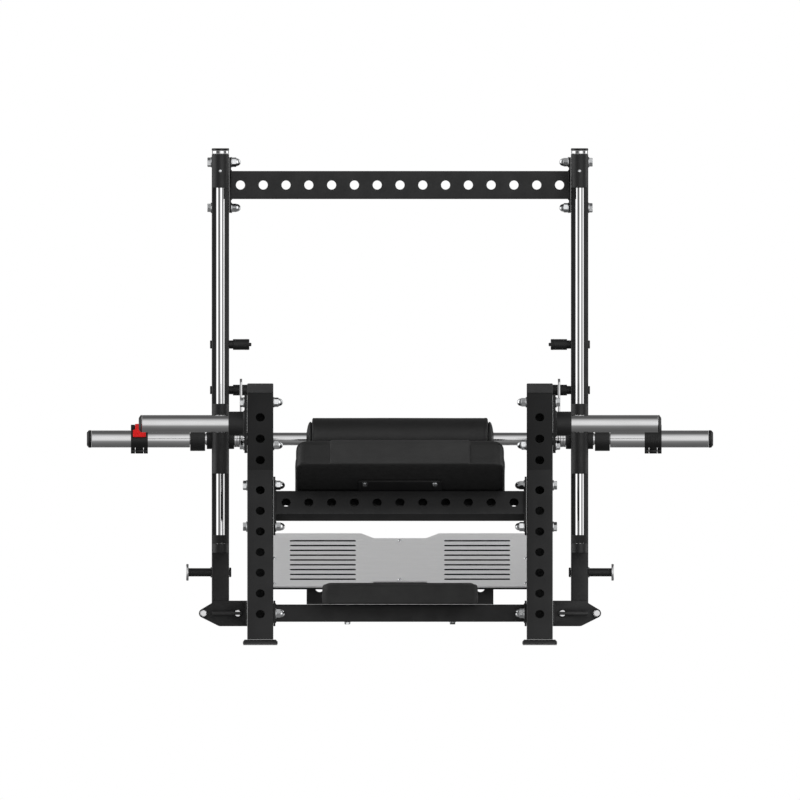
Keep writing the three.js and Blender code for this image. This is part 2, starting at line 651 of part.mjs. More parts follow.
// ---- Pegs and storage ----
function buildPegs() {
  const inner = COLUMN.x - SLIM / 2 - GAP;
  const outer = COLUMN.x + SLIM / 2 + GAP;
  for (const [name, side] of SIDES) {
    RACK_PEG.z.forEach((z, i) => {
      const bar = (from, to, radius) =>
        round("x", side * from, side * to, radius, COLUMN.y, z, ROUND_SIDES / 2);
      const peg = shaped([
        bar(RACK_PEG.nub, RACK_PEG.end + 1, RACK_PEG.pin / 2),
        bar(RACK_PEG.end, RACK_PEG.neck, RACK_PEG.radius),
        bar(RACK_PEG.neck - 1, inner, BAND_PEG.radius),
        bar(inner - 1, RACK_PEG.out, RACK_PEG.pin),
      ]);
      add(machine, `rack_peg_${["low", "high"][i]}_${name}`, peg, blackPaint());
    });
    const bar = (from, to, radius) =>
      round("x", side * from, side * to, radius, COLUMN.y, BAND_PEG.z, ROUND_SIDES / 2);
    const peg = shaped([
      bar(BAND_PEG.nut, inner, BAND_PEG.radius),
      bar(inner - 1, outer + 1, BAND_PEG.shank),
      bar(outer, BAND_PEG.end, BAND_PEG.radius),
      bar(BAND_PEG.end - 1, BAND_PEG.end + BAND_PEG.disc, BAND_PEG.discRadius),
    ]);
    add(machine, `band_peg_${name}`, peg, blackPaint());
  }
}

function buildStorage() {
  const y = uprightY(KNEE_Z) - STORAGE.along * sin(LEAN_FORWARD);
  const z = KNEE_Z + STORAGE.along * cos(LEAN_FORWARD);
  for (const [name, side] of SIDES) {
    const group = new THREE.Group();
    group.position.set(0, y, z);
    group.rotation.x = LEAN_FORWARD;
    machine.add(group);
    const inner = UPRIGHT_X + TUBE / 2 + GAP;
    const flange = block(
      [side * inner, side * (inner + STORAGE.flange)],
      [-TUBE / 2, TUBE / 2],
      [-FLANGE.length / 2, FLANGE.length / 2],
    );
    const { flange: thick, collar, sleeve, cap } = STORAGE;
    const bar = (from, to, radius) => round("x", side * from, side * to, radius);
    const arm = shaped([
      flange,
      bar(inner + thick - 1, collar.end, collar.radius),
      bar(collar.end - 1, sleeve.end, sleeve.radius),
      bar(sleeve.end - 1, cap.end, cap.radius),
    ]);
    add(group, `storage_sleeve_${name}`, arm, chrome());
  }
}

buildUprights();
buildBackPad();
buildRails();
buildRearFrame();
buildSeat();
buildFootPlate();
buildColumns();
buildTopBeam();
buildOutriggers();
buildRods();
buildCarriages();
buildBar();
buildClamps();
buildPegs();
buildStorage();

export default machine;
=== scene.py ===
"""Looks of the hip thrust machine. All sizes are in metres, in the frame's own axes:
+X to the right, +Y from the head end to the feet, +Z up."""
import math

import bmesh
import bpy
from mathutils import Matrix, Vector, noise
from mathutils.bvhtree import BVHTree


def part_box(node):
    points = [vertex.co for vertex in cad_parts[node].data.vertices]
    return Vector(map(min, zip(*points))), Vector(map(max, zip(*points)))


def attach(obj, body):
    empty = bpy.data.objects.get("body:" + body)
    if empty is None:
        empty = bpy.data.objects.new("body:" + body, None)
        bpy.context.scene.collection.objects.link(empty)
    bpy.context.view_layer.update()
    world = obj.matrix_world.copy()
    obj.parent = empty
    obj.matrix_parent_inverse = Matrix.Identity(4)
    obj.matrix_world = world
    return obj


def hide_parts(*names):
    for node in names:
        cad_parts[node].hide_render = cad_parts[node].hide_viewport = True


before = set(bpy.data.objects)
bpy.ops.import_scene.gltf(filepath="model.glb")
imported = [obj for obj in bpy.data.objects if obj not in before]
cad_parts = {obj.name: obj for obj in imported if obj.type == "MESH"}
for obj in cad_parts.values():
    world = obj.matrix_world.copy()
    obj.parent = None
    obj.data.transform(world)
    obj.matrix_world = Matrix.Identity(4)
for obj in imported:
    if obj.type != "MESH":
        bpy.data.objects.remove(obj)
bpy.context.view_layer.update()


# ---- Places read from the frame ----
def low(node):
    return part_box(node)[0]


def high(node):
    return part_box(node)[1]


def size(node):
    return high(node) - low(node)


def middle(node):
    return (high(node) + low(node)) / 2


SIDES = (("left", -1), ("right", 1))
AXES = {"x": Vector((1, 0, 0)), "y": Vector((0, 1, 0)), "z": Vector((0, 0, 1))}
GAP = 0.0003  # between pieces that touch

# Tubes, their holes and their plates
TUBE = size("upright_right").x
SLIM = size("column_right").x
WALL = 0.003
TUBE_CORNER = 0.004
PITCH = 0.0655
HOLE = 0.013
PLUG_THICK = 0.003
FLANGE = {"thick": 0.0055, "length": 0.16, "corner": 0.012, "hole": 0.0085}

# Uprights, from the floor to the knee and on to the top
UPRIGHT_X = middle("upright_right").x
LEAN_BACK = math.radians(25)
LEAN_FORWARD = math.radians(20)
FLOOR_Y = low("front_foot_right").y + 0.06 - 0.016 * math.tan(LEAN_BACK)
KNEE_Z = 0.5016
UPPER_LENGTH = 0.2534
PAD_BEAM_Z = 0.4
STORAGE_ALONG = 0.1435


def upright_y(z):
    return FLOOR_Y + z * math.tan(LEAN_BACK)


LOWER_WAY = Vector((0, math.sin(LEAN_BACK), math.cos(LEAN_BACK)))
UPPER_WAY = Vector((0, -math.sin(LEAN_FORWARD), math.cos(LEAN_FORWARD)))
KNEE = Vector((0, upright_y(KNEE_Z), KNEE_Z))
PAD_BEAM = Vector((0, upright_y(PAD_BEAM_Z), PAD_BEAM_Z))
STORAGE = KNEE + UPPER_WAY * STORAGE_ALONG
TILT = Matrix.Translation(PAD_BEAM) @ Matrix.Rotation(-LEAN_BACK, 4, "X")

# Floor frame
RAIL_LOW, RAIL_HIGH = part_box("side_rail_right")
RAIL_Z = (RAIL_LOW.z + RAIL_HIGH.z) / 2
RAIL_HEIGHT = RAIL_HIGH.z - RAIL_LOW.z
FOOT = {"rubber": 0.0022, "chamfer": 0.006, "corner": 0.008}
FOOT_TILT = math.radians(30)
POST_HOLE_Z = 0.1657
SEAT_TUBE = {"low": 0.067, "high": 0.117, "bolt_x": 0.151}

# Tower
COLUMN = middle("column_right")
COLUMN_INNER = COLUMN.x - SLIM / 2
COLUMN_OUTER = COLUMN.x + SLIM / 2
COLUMN_HOLES = {"high": 1.3877, "count": 19, "corner": 0.005}
TOP_BEAM = {"height": 0.0806, "holes": 7}
ARM = {"tip_x": 0.565, "tip_z": 0.0915, "tip": 0.013, "plate": 0.006, "chin_x": 0.52, "shoulder_z": 0.121,
       "arc": math.radians(62), "peg": 0.0095}
LOCK = {"x": 0.466, "radius": 0.01, "grip": 0.005, "handle": 0.541}
ROD = middle("guide_rod_right")
ROD_RADIUS = size("guide_rod_right").x / 2
HOLDER = {"radius": size("rod_bumper_right").x / 2, "neck": 1.412, "cap": 1.421, "grub_z": 1.3626, "arm": 0.036,
          "sole": 0.0047}
CARRIAGE = {"inner": 0.4765, "outer": 0.5553, "bore": 0.02, "housing_bore": 0.0186}

# Bar and what turns on it
BAR = middle("bar_shaft")
BAR_RADIUS = 0.01825
SHOULDER = {"inner": 0.56, "outer": 0.6035, "radius": 0.0345}
SPINDLE = {"radius": 0.01575, "end": 0.88}
SPACER = {"start": 0.4609, "stop": 0.4761, "radius": 0.0235, "waist": 0.0228}
HOOK = {"inner": 0.4535, "outer": 0.4605, "collar": 0.03, "top": 0.173, "jaw": 0.168, "tip": 0.0395, "swing": 6.2,
        "boss_start": 0.4409, "boss_stop": 0.4531, "boss": 0.0225}
BAR_SLEEVE = {"end": 0.8865, "tip": 0.9, "radius": 0.0245, "cap": 0.0252}
CLAMP = {"width": 0.0488, "radius": 0.033, "left": -0.749, "right": 0.7274, "lug": 0.042, "bore": 0.0248}
LEVER = {"half": 0.0185, "thumb": 0.012, "low": 0.0055, "shoulder": 0.0255, "top": 0.0435, "near": 0.0345,
         "far": 0.0445, "root": 0.01, "pivot_y": 0.013, "pivot_z": 0.0398}
ROLL = {"half": 0.251, "end": 0.269, "radius": 0.0606, "disc": 0.0497}

# Pegs and storage
RACK_PEG = {"low": 0.733, "high": 0.864, "nub": 0.427, "end": 0.433, "neck": 0.48, "radius": 0.0155,
            "shank": 0.012, "stem": 0.0116, "out": 0.546, "ridges": (0.4365, 0.4395, 0.4425)}
BAND_PEG = {"z": 0.2093, "end": 0.6075, "disc": 0.007, "disc_radius": 0.024, "radius": 0.012, "nut": 0.485}
STORE = {"collar": 0.493, "end": 0.742, "tip": 0.751, "radius": 0.02475, "collar_radius": 0.035, "plate": 0.008}

# Foot plate
PLATE = {"y": 0.4275, "z": 0.165, "length": 0.305, "half": 0.378, "thick": 0.005, "tray": 0.0065, "corner": 0.008}
WAIST = {"outer": 0.112, "inner": 0.075, "near": 0.0306, "far": 0.028}
SLOT = {"inner": 0.1267, "outer": 0.3167, "width": 0.0084, "first": 0.041, "step": 0.0276, "count": 9}
ON_PLATE = Matrix.Translation((0, PLATE["y"], PLATE["z"])) @ Matrix.Rotation(FOOT_TILT, 4, "X")

# Pads. DIP, SLIP and SLACK limit how far the simulated cover leaves the drawn form.
BACK_PAD = {"half": 0.301, "front": -0.188, "back": 0.162, "low": 0.0431, "high": 0.1301, "corner": 0.028,
            "edge": 0.024}
MOUNT = {"width": 0.24, "length": 0.17, "thick": 0.005, "bolt_x": 0.101, "bolt_y": 0.07}
PANEL_X = 0.2015
DIP, SLIP, SLACK = 0.0006, 0.001, 0.0015
STITCH = {"step": 0.005, "length": 0.0034, "radius": 0.00045, "offset": 0.0042}

# Fasteners (M16, as on the frame)
BOLT = {"across": 0.024, "head": 0.0095, "skirt": 0.0125, "washer": 0.015, "washer_thick": 0.003}

# View and light: the brightness of the studio by degrees round the object and by degrees above level
VIEW = {"width": 2.299, "height": 0.7045, "distance": 5.0}
AROUND = [
    (-180, 0.05), (-145, 0.1), (-122, 0.8), (-108, 1.7), (-72, 2.0), (-63, 0.8), (-54, 0.0), (-17, 0.0),
    (-8, 0.5), (3, 1.2), (14, 1.6), (28, 1.6), (44, 0.9), (54, 0.15), (62, 0.0), (82, 0.0), (92, 1.1),
    (104, 2.1), (118, 1.5), (134, 0.1), (180, 0.05),
]
UPWARD = [
    (-180, 0.0), (-72, 0.03), (-52, 0.1), (-36, 0.2), (-8, 0.93), (6, 1.0), (20, 0.98), (34, 0.88), (50, 0.6),
    (66, 0.22), (82, 0.0), (180, 0.0),
]
AMBIENT = [(-180, 0.16), (-70, 0.17), (-30, 0.15), (60, 0.15), (90, 0.16), (180, 0.16)]


# ---- Materials ----
class Nodes:
    """The node tree of a material or a world, with short calls that add and link nodes."""

    def __init__(self, owner, shader, constants=()):
        owner.use_nodes = True
        self.owner = owner
        self.tree = owner.node_tree
        self.shader = self.tree.nodes[shader]
        for socket, value in dict(constants).items():
            self.shader.inputs[socket].default_value = value
        self.place = self.add("ShaderNodeTexCoord").outputs["Object"]

    def add(self, kind, inputs=(), **settings):
        """A new node, with its inputs as {socket: constant, or the output to link}."""
        node = self.tree.nodes.new(kind)
        for key, value in settings.items():
            setattr(node, key, value)
        for socket, value in dict(inputs).items():
            if isinstance(value, bpy.types.NodeSocket):
                self.tree.links.new(value, node.inputs[socket])
            else:
                node.inputs[socket].default_value = value
        return node

    def stretched(self, scale, rotation=(0, 0, 0)):
        inputs = {"Vector": self.place, "Scale": scale, "Rotation": rotation}
        return self.add("ShaderNodeMapping", inputs).outputs["Vector"]

    def noise(self, scale, detail=2.0, roughness=0.5, vector=None):
        inputs = {"Vector": vector or self.place, "Scale": scale, "Detail": detail, "Roughness": roughness}
        return self.add("ShaderNodeTexNoise", inputs).outputs["Fac"]

    def cells(self, scale, feature="F1", vector=None):
        inputs = {"Vector": vector or self.place, "Scale": scale}
        return self.add("ShaderNodeTexVoronoi", inputs, feature=feature).outputs["Distance"]

    def ramp(self, factor, first, last, start=0.3, stop=0.7):
        """Blends from first to last, colours or greys, while factor goes from start to stop."""
        node = self.add("ShaderNodeValToRGB", {"Fac": factor})
        for element, place, colour in zip(node.color_ramp.elements, (start, stop), (first, last)):
            element.position = place
            element.color = (*colour, 1) if isinstance(colour, tuple) else (colour, colour, colour, 1)
        return node.outputs["Color"]

    def range(self, value, first, last, start=0.3, stop=0.7):
        inputs = {"Value": value, "From Min": start, "From Max": stop, "To Min": first, "To Max": last}
        return self.add("ShaderNodeMapRange", inputs).outputs["Result"]

    def math(self, operation, *values):
        return self.add("ShaderNodeMath", enumerate(values), operation=operation).outputs["Value"]

    def mix(self, factor, first, second):
        """Blends from one colour's output to a grey."""
        inputs = {"Factor": factor, 6: first, 7: (second, second, second, 1)}
        return self.add("ShaderNodeMix", inputs, data_type="RGBA").outputs[2]

    def bump(self, height, depth, strength=1.0, under=None):
        inputs = {"Height": height, "Distance": depth, "Strength": strength}
        if under is not None:
            inputs["Normal"] = under
        return self.add("ShaderNodeBump", inputs).outputs["Normal"]

    def surface(self, colour, roughness, normal):
        """Links the three outputs to the shader, and gives back the material."""
        for socket, output in (("Base Color", colour), ("Roughness", roughness), ("Normal", normal)):
            self.tree.links.new(output, self.shader.inputs[socket])
        return self.owner


def surface_nodes(name, metallic=0.0, specular=0.5, glow=(1, 1, 1), strength=0.0):
    return Nodes(bpy.data.materials.new(name), "Principled BSDF", {
        "Metallic": metallic, "Specular IOR Level": specular, "Emission Color": (*glow, 1),
        "Emission Strength": strength,
    })


def powder_coat():
    """Satin black powder coat: a fine orange peel, slightly uneven gloss and a few dusty scuffs."""
    n = surface_nodes("satin_coat", specular=0.38)
    base = n.ramp(n.noise(9, 4), (0.015, 0.015, 0.01545), (0.021, 0.021, 0.02163))
    scuffs = n.range(n.noise(38, 6, 0.75, n.stretched((1, 1, 4))), 0.0, 0.35, 0.66, 0.74)
    peel = n.bump(n.noise(900, 2), 0.00006)
    return n.surface(n.mix(scuffs, base, 0.05), n.range(n.noise(24, 3), 0.42, 0.56),
                     n.bump(n.cells(1600), 0.00003, under=peel))


def chrome(name, grain, tone=0.62, gloss=0.07):
    """Hard chrome with faint drag marks along the grain and hazy, handled patches."""
    n = surface_nodes(name, metallic=1.0)
    marks = n.noise(70, 5, 0.7, n.stretched(grain))
    colour = n.ramp(marks, tone * 0.9, (tone, tone, tone * 1.015), 0.35)
    haze = n.range(n.noise(14, 4), gloss, gloss * 1.5, 0.35)
    rough = n.math("ADD", haze, n.range(marks, 0.0, 0.04, 0.45, 0.8))
    return n.surface(colour, rough, n.bump(marks, 0.00001, 0.2))


def vinyl(name, tone, pebble, depth, rough, specular=0.4):
    """Upholstery vinyl: pebbled grain of creased cells over a soft, uneven sheen."""
    n = surface_nodes(name, specular=specular)
    colour = n.ramp(n.noise(12, 4), tone * 0.85, tone * 1.12)
    sheen = n.range(n.noise(40, 3), rough - 0.05, rough + 0.06)
    wobble = n.add("ShaderNodeTexNoise", {"Vector": n.place, "Scale": pebble * 0.4}).outputs["Color"]
    small = n.add("ShaderNodeVectorMath", {0: wobble, "Scale": 0.6 / pebble}, operation="SCALE").outputs["Vector"]
    warp = n.add("ShaderNodeVectorMath", {0: n.place, 1: small}, operation="ADD").outputs["Vector"]
    creases = n.cells(pebble, "DISTANCE_TO_EDGE", warp)
    grain = n.bump(n.range(creases, 0.0, 1.0, 0.0, 0.18), depth)
    return n.surface(colour, sheen, n.bump(n.noise(pebble * 3, 2), depth * 0.3, under=grain))


def mottled(name, colour, rough, grain, **constants):
    """An even surface. The colour is (noise scale, detail, dark, pale), the roughness is (noise scale,
    detail, least, most) and the grain is (noise scale, depth)."""
    n = surface_nodes(name, **constants)
    return n.surface(n.ramp(n.noise(*colour[:2]), *colour[2:]), n.range(n.noise(*rough[:2]), *rough[2:]),
                     n.bump(n.noise(grain[0], 2), grain[1]))


def plastic(name, colour, rough=0.38, specular=0.35, **constants):
    """Moulded plastic with a fine spark-eroded texture."""
    darker = tuple(c * 0.8 for c in colour)
    return mottled(name, (30, 3, darker, colour), (90, 3, rough - 0.06, rough + 0.08), (1800, 0.00003),
                   specular=specular, **constants)


def blasted_aluminium():
    """Bead-blasted plate: a fine even grain, a trace of rolling lines and shoe scuffs."""
    n = surface_nodes("blasted_plate", metallic=0.22)
    grain = n.noise(1500, 3, 0.7)
    lines = n.noise(300, 2, 0.5, n.stretched((0.05, 1, 1)))
    scuff = n.range(n.noise(26, 6, 0.75, n.stretched((1, 3, 3), (0, 0, 0.5))), 0.0, 0.35, 0.64, 0.78)
    blend = n.math("ADD", n.math("MULTIPLY", grain, 0.7), n.math("MULTIPLY", lines, 0.3))
    base = n.ramp(blend, (0.88, 0.88, 0.885), (0.99, 0.99, 0.995))
    return n.surface(n.mix(scuff, base, 0.82), n.range(grain, 0.46, 0.62), n.bump(grain, 0.00004))


PAINT = powder_coat()
CHROME = chrome("hard_chrome", (0.15, 1, 1))
ROD_CHROME = chrome("rod_chrome", (1, 1, 0.1), 0.72, 0.035)
HOOK_STEEL = chrome("hook_steel", (1, 1, 0.3), 0.5)
ZINC = mottled("bright_zinc", (160, 4, (0.62, 0.63, 0.64), (0.78, 0.79, 0.8)), (300, 3, 0.12, 0.22),
               (700, 0.00002), metallic=1.0)
BRONZE = mottled("sintered_bronze", (90, 4, (0.3, 0.17, 0.05), (0.45, 0.27, 0.1)), (400, 3, 0.35, 0.5),
                 (900, 0.00005), metallic=1.0)
ALUMINIUM = blasted_aluminium()
SIDE_VINYL = vinyl("pad_vinyl", 0.0185, 420, 0.00012, 0.5)
PANEL_VINYL = vinyl("grip_vinyl", 0.037, 260, 0.00022, 0.6)
ROLL_VINYL = vinyl("roll_vinyl", 0.0085, 380, 0.00014, 0.4, 0.5)
THREAD = plastic("black_thread", (0.03, 0.03, 0.031), 0.6)
RUBBER = mottled("moulded_rubber", (60, 4, 0.014, 0.023), (120, 2, 0.62, 0.8), (1100, 0.00006), specular=0.35)
BLACK_PLASTIC = plastic("black_plastic", (0.012, 0.012, 0.012))
# The upright top plugs get a paler plastic than the other black plugs: painted light on their up-tilted tops.
PLUG_PLASTIC = plastic("plug_plastic", (0.046, 0.046, 0.047), 0.5)
GRIP_PLASTIC = plastic("grip_plastic", (0.06, 0.06, 0.061), 0.5)
# The red lever plastic glows faintly: painted light that brightens the lever.
GLOWING_RED_PLASTIC = plastic("lever_plastic", (1.0, 0.009, 0.009), 0.5, 0.3, glow=(1, 0.02, 0.02), strength=0.09)


# ---- Mesh tools ----
def linked(name, data):
    obj = bpy.data.objects.new(name, data)
    bpy.context.scene.collection.objects.link(obj)
    return obj


def mesh_object(name, bm, smooth_angle=35):
    """Turns a bmesh into an object, smooth but for edges sharper than smooth_angle degrees."""
    bmesh.ops.remove_doubles(bm, verts=bm.verts, dist=1e-6)
    bmesh.ops.recalc_face_normals(bm, faces=bm.faces)
    mesh = bpy.data.meshes.new(name)
    bm.to_mesh(mesh)
    bm.free()
    mesh.shade_smooth()
    mesh.set_sharp_from_angle(angle=math.radians(smooth_angle))
    return linked(name, mesh)


def place(obj, matrix):
    """Moves the mesh itself, so that the object stays at the origin."""
    obj.data.transform(matrix)
    if matrix.determinant() < 0:
        obj.data.flip_normals()
    return obj


def moved(obj, x, y, z):
    return place(obj, Matrix.Translation((x, y, z)))


def mirrored(obj, side):
    return place(obj, Matrix.Scale(side, 4, AXES["x"]))


def painted(obj, material):
    obj.data.materials.clear()
    obj.data.materials.append(material)
    return obj


def applied(obj):
    """Bakes the modifiers into the mesh."""
    graph = bpy.context.evaluated_depsgraph_get()
    graph.update()
    mesh = bpy.data.meshes.new_from_object(obj.evaluated_get(graph))
    obj.modifiers.clear()
    old = obj.data
    obj.data = mesh
    bpy.data.meshes.remove(old)
    return obj


def modified(obj, kind, **settings):
    """Adds one modifier and bakes it in."""
    modifier = obj.modifiers.new(kind.lower(), kind)
    for key, value in settings.items():
        setattr(modifier, key, value)
    return applied(obj)


def softened(obj, width=0.0006, segments=2):
    """A small rounded edge wherever two faces meet sharply."""
    return modified(obj, "BEVEL", width=width, segments=segments, limit_method="ANGLE",
                    angle_limit=math.radians(30), harden_normals=True)


def combined(obj, tool, operation):
    modified(obj, "BOOLEAN", operation=operation, solver="EXACT", object=tool)
    bpy.data.objects.remove(tool)
    return obj


def cut(obj, cutters):
    """Takes the joined cutters out of obj."""
    return combined(obj, joined("cutter", cutters), "DIFFERENCE")


def joined(name, objects):
    """One object that holds the meshes of all of them, materials included."""
    materials = list(dict.fromkeys(m for obj in objects for m in obj.data.materials))
    mesh = bpy.data.meshes.new(name)
    for material in materials:
        mesh.materials.append(material)
    bm = bmesh.new()
    for obj in objects:
        start = len(bm.faces)
        bm.from_mesh(obj.data)
        bm.faces.ensure_lookup_table()
        table = [materials.index(m) for m in obj.data.materials]
        if table:
            for face in bm.faces[start:]:
                face.material_index = table[face.material_index]
    bm.to_mesh(mesh)
    bm.free()
    for obj in objects:
        bpy.data.objects.remove(obj)
    return linked(name, mesh)


def piece(obj, material=None, nodes=(), body="frame", name=None):
    """Gives a finished piece its name, material and body, and hides the CAD nodes that it replaces."""
    if name:
        obj.name = name
    if material:
        painted(obj, material)
    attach(obj, body)
    if nodes:
        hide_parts(*nodes)
    return obj


def skin(bm, rings, closed=False, caps=False):
    """Faces between each ring of vertices and the next. A ring of one vertex is a pole."""
    for first, second in zip(rings, rings[1:] + (rings[:1] if closed else [])):
        count = max(len(first), len(second))
        for i in range(count):
            j = (i + 1) % count
            corners = dict.fromkeys((first[i % len(first)], first[j % len(first)],
                                     second[j % len(second)], second[i % len(second)]))
            bm.faces.new(list(corners))
    if caps:
        bm.faces.new(reversed(rings[0]))
        bm.faces.new(rings[-1])


def even_steps(first, last, count):
    return [first + (last - first) * i / count for i in range(count + 1)]


def rounded(points, steps=5):
    """Rounds the corners of a profile. A point is (a, b) or (a, b, corner radius)."""
    result = []
    for i, point in enumerate(points):
        here = Vector(point[:2])
        if len(point) < 3 or not point[2] or i in (0, len(points) - 1):
            result.append(here)
            continue
        back = Vector(points[i - 1][:2]) - here
        ahead = Vector(points[i + 1][:2]) - here
        half_turn = back.angle(ahead) / 2
        reach = min(point[2] / math.tan(half_turn), back.length * 0.49, ahead.length * 0.49)
        radius = reach * math.tan(half_turn)
        centre = here + (back.normalized() + ahead.normalized()).normalized() * (radius / math.sin(half_turn))
        first = here + back.normalized() * reach - centre
        turn = first.angle_signed(here + ahead.normalized() * reach - centre)
        for step in range(steps + 1):
            arm = first.copy()
            arm.rotate(Matrix.Rotation(-turn * step / steps, 2))
            result.append(centre + arm)
    return result


def supported(points, near=0.0006, least=0.004):
    """Adds a point near each end of a long straight stretch, so that its shading stays even."""
    result = [points[0]]
    for first, second in zip(points, points[1:]):
        way = (second - first).normalized() * near
        if (second - first).length > least:
            result += [first + way, second - way]
        result.append(second)
    return result


def straight(start, stop, bore, radius, first=0.0, second=None):
    """The profile of a plain rod, whose bore is 0, or ring, with a corner radius at each end."""
    second = first if second is None else second
    return [(start, bore), (start, radius, first), (stop, radius, second), (stop, bore)]


def turned(name, profile, axis="x", at=(0, 0, 0), sides=64, steps=5):
    """A turned piece. The profile is (place along the axis, radius, optional corner radius). One that
    starts off the axis closes on itself, and any other starts and ends on the axis."""
    turns = [2 * math.pi * i / sides for i in range(sides)]
    bm = bmesh.new()
    rings = [
        [bm.verts.new((along, 0, 0))] if radius < 1e-7 else
        [bm.verts.new((along, radius * math.cos(a), radius * math.sin(a))) for a in turns]
        for along, radius in supported(rounded(profile, steps))
    ]
    skin(bm, rings, closed=profile[0][1] > 0)
    direction = AXES[axis] if isinstance(axis, str) else axis
    spin = AXES["x"].rotation_difference(direction).to_matrix().to_4x4()
    return place(mesh_object(name, bm, 28), Matrix.Translation(at) @ spin)


def on_bar(name, profile, side=1, sides=96):
    """A turned piece on the bar's axis, mirrored to its side."""
    return mirrored(turned(name, profile, "x", (0, BAR.y, BAR.z), sides), side)


def drill(axis, at, length=0.12):
    return turned("drill", straight(-length / 2, length / 2, 0, HOLE), axis, at, 40)


def section(width, depth, corner, steps=5):
    """The corners of a rounded rectangle, in order."""
    half_x, half_y = width / 2 - corner, depth / 2 - corner
    points = []
    for quarter, (x, y) in enumerate(((half_x, half_y), (-half_x, half_y), (-half_x, -half_y), (half_x, -half_y))):
        for step in range(steps + 1):
            angle = math.pi / 2 * (quarter + step / steps)
            points.append((x + corner * math.cos(angle), y + corner * math.sin(angle)))
    return points


def rectangle(width, depth, corner, x=0.0, y=0.0):
    return [(x + a, y + b) for a, b in section(width, depth, corner, 6)]


def circle(x, y, radius, steps=32):
    angles = [2 * math.pi * i / steps for i in range(steps)]
    return [(x + radius * math.cos(a), y + radius * math.sin(a)) for a in angles]


def outline(points):
    """A closed outline whose points (x, y, corner radius) are rounded."""
    return [tuple(p) for p in rounded([points[-1], *points, points[0]], 6)[1:-1]]


def swept_tube(name, stations, width, depth, sideways=AXES["x"], corner=TUBE_CORNER):
    """A hollow tube through stations, each (point on the centre line, normal of the end or mitre)."""
    bm = bmesh.new()
    shells = []
    for shell in (section(width, depth, corner), section(width - 2 * WALL, depth - 2 * WALL, corner - WALL / 2)):
        rings = []
        for i, (point, normal) in enumerate(stations):
            along = (stations[max(i, 1)][0] - stations[max(i - 1, 0)][0]).normalized()
            across = along.cross(sideways).normalized()
            ring = []
            for u, v in shell:
                edge = point + sideways * u + across * v
                ring.append(bm.verts.new(edge + along * ((point - edge).dot(normal) / along.dot(normal))))
            rings.append(ring)
        shells.append(rings)
    for rings in shells:
        skin(bm, rings)
    for end in (0, -1):
        skin(bm, [rings[end] for rings in shells])
    return mesh_object(name, bm, 28)


def slab(name, loop, thick, holes=(), bevel=0.0008):
    """A flat plate in the XY plane, from z = 0 up, with soft edges. Loops are lists of (x, y)."""
    curve = bpy.data.curves.new(name, "CURVE")
    curve.dimensions = "2D"
    curve.fill_mode = "BOTH"
    curve.extrude = thick / 2 - bevel
    curve.bevel_depth = bevel
    curve.bevel_resolution = 2
    curve.offset = -bevel
    for points in (loop, *holes):
        spline = curve.splines.new("POLY")
        spline.points.add(len(points) - 1)
        for point, (x, y) in zip(spline.points, points):
            point.co = (x, y, 0, 1)
        spline.use_cyclic_u = True
    holder = linked(name, curve)
    bpy.context.view_layer.update()
    mesh = bpy.data.meshes.new_from_object(holder)
    bpy.data.objects.remove(holder)
    bpy.data.curves.remove(curve)
    bm = bmesh.new()
    bm.from_mesh(mesh)
    bpy.data.meshes.remove(mesh)
    bmesh.ops.translate(bm, verts=bm.verts, vec=(0, 0, thick / 2))
    bmesh.ops.remove_doubles(bm, verts=bm.verts, dist=2e-5)
    return mesh_object(name, bm, 40)


def facing(axis, at, turn=0.0):
    """A matrix that lays the XY plane square to an axis, with local X kept as level as it can be."""
    bases = {
        "x": Matrix(((0, 0, 1), (1, 0, 0), (0, 1, 0))),
        "-x": Matrix(((0, 0, -1), (-1, 0, 0), (0, 1, 0))),
        "y": Matrix(((-1, 0, 0), (0, 0, 1), (0, 1, 0))),
        "-y": Matrix(((1, 0, 0), (0, 0, -1), (0, 1, 0))),
        "z": Matrix.Identity(3),
    }
    return Matrix.Translation(at) @ Matrix.Rotation(turn, 4, "X") @ bases[axis].to_4x4()


def outward(side):
    return "x" if side > 0 else "-x"


def inward(side):
    return outward(-side)


# ---- Fasteners ----
def hexagon(name, across, height, chamfer=0.93):
    """A hexagon head that stands on z = 0, its top corners turned down."""
    corner = across / math.sqrt(3)
    bm = bmesh.new()
    rings = [[bm.verts.new((x, y, z)) for x, y in circle(0, 0, corner, 6)] for z in (0, height)]
    bm.faces.new(reversed(rings[0]))
    bm.faces.new(rings[1])
    skin(bm, rings)
    cone = turned("cone", [
        (-0.001, 0), (-0.001, corner * 1.1), (height - corner * 0.132, corner * 1.1),
        (height, across / 2 * chamfer), (height, 0),
    ], "z", sides=48)
    return softened(combined(mesh_object(name, bm), cone, "INTERSECT"), 0.0003, 1)


def on_washer(name, *parts):
    """The parts on a washer, in zinc."""
    washer = turned("washer", straight(0, BOLT["washer_thick"], 0, BOLT["washer"], 0.0004, 0.0006), "z", sides=40)
    return painted(joined(name, [washer, *parts]), ZINC)


def bolt_head():
    head = hexagon("head", BOLT["across"], BOLT["head"])
    return on_washer("bolt_head", moved(head, 0, 0, BOLT["washer_thick"]))


def acorn_nut():
    start, radius = BOLT["washer_thick"], BOLT["across"] * 0.46
    shoulder = start + BOLT["skirt"]
    skirt = moved(hexagon("skirt", BOLT["across"], BOLT["skirt"]), 0, 0, start)
    arc = [(shoulder + radius * 1.1 * math.sin(a), radius * math.cos(a)) for a in even_steps(0, math.pi / 2, 10)[:-1]]
    profile = [(start + 0.01, 0), (start + 0.01, radius), *arc, (shoulder + radius * 1.1, 0)]
    return on_washer("acorn_nut", skirt, turned("dome", profile, "z", sides=48))


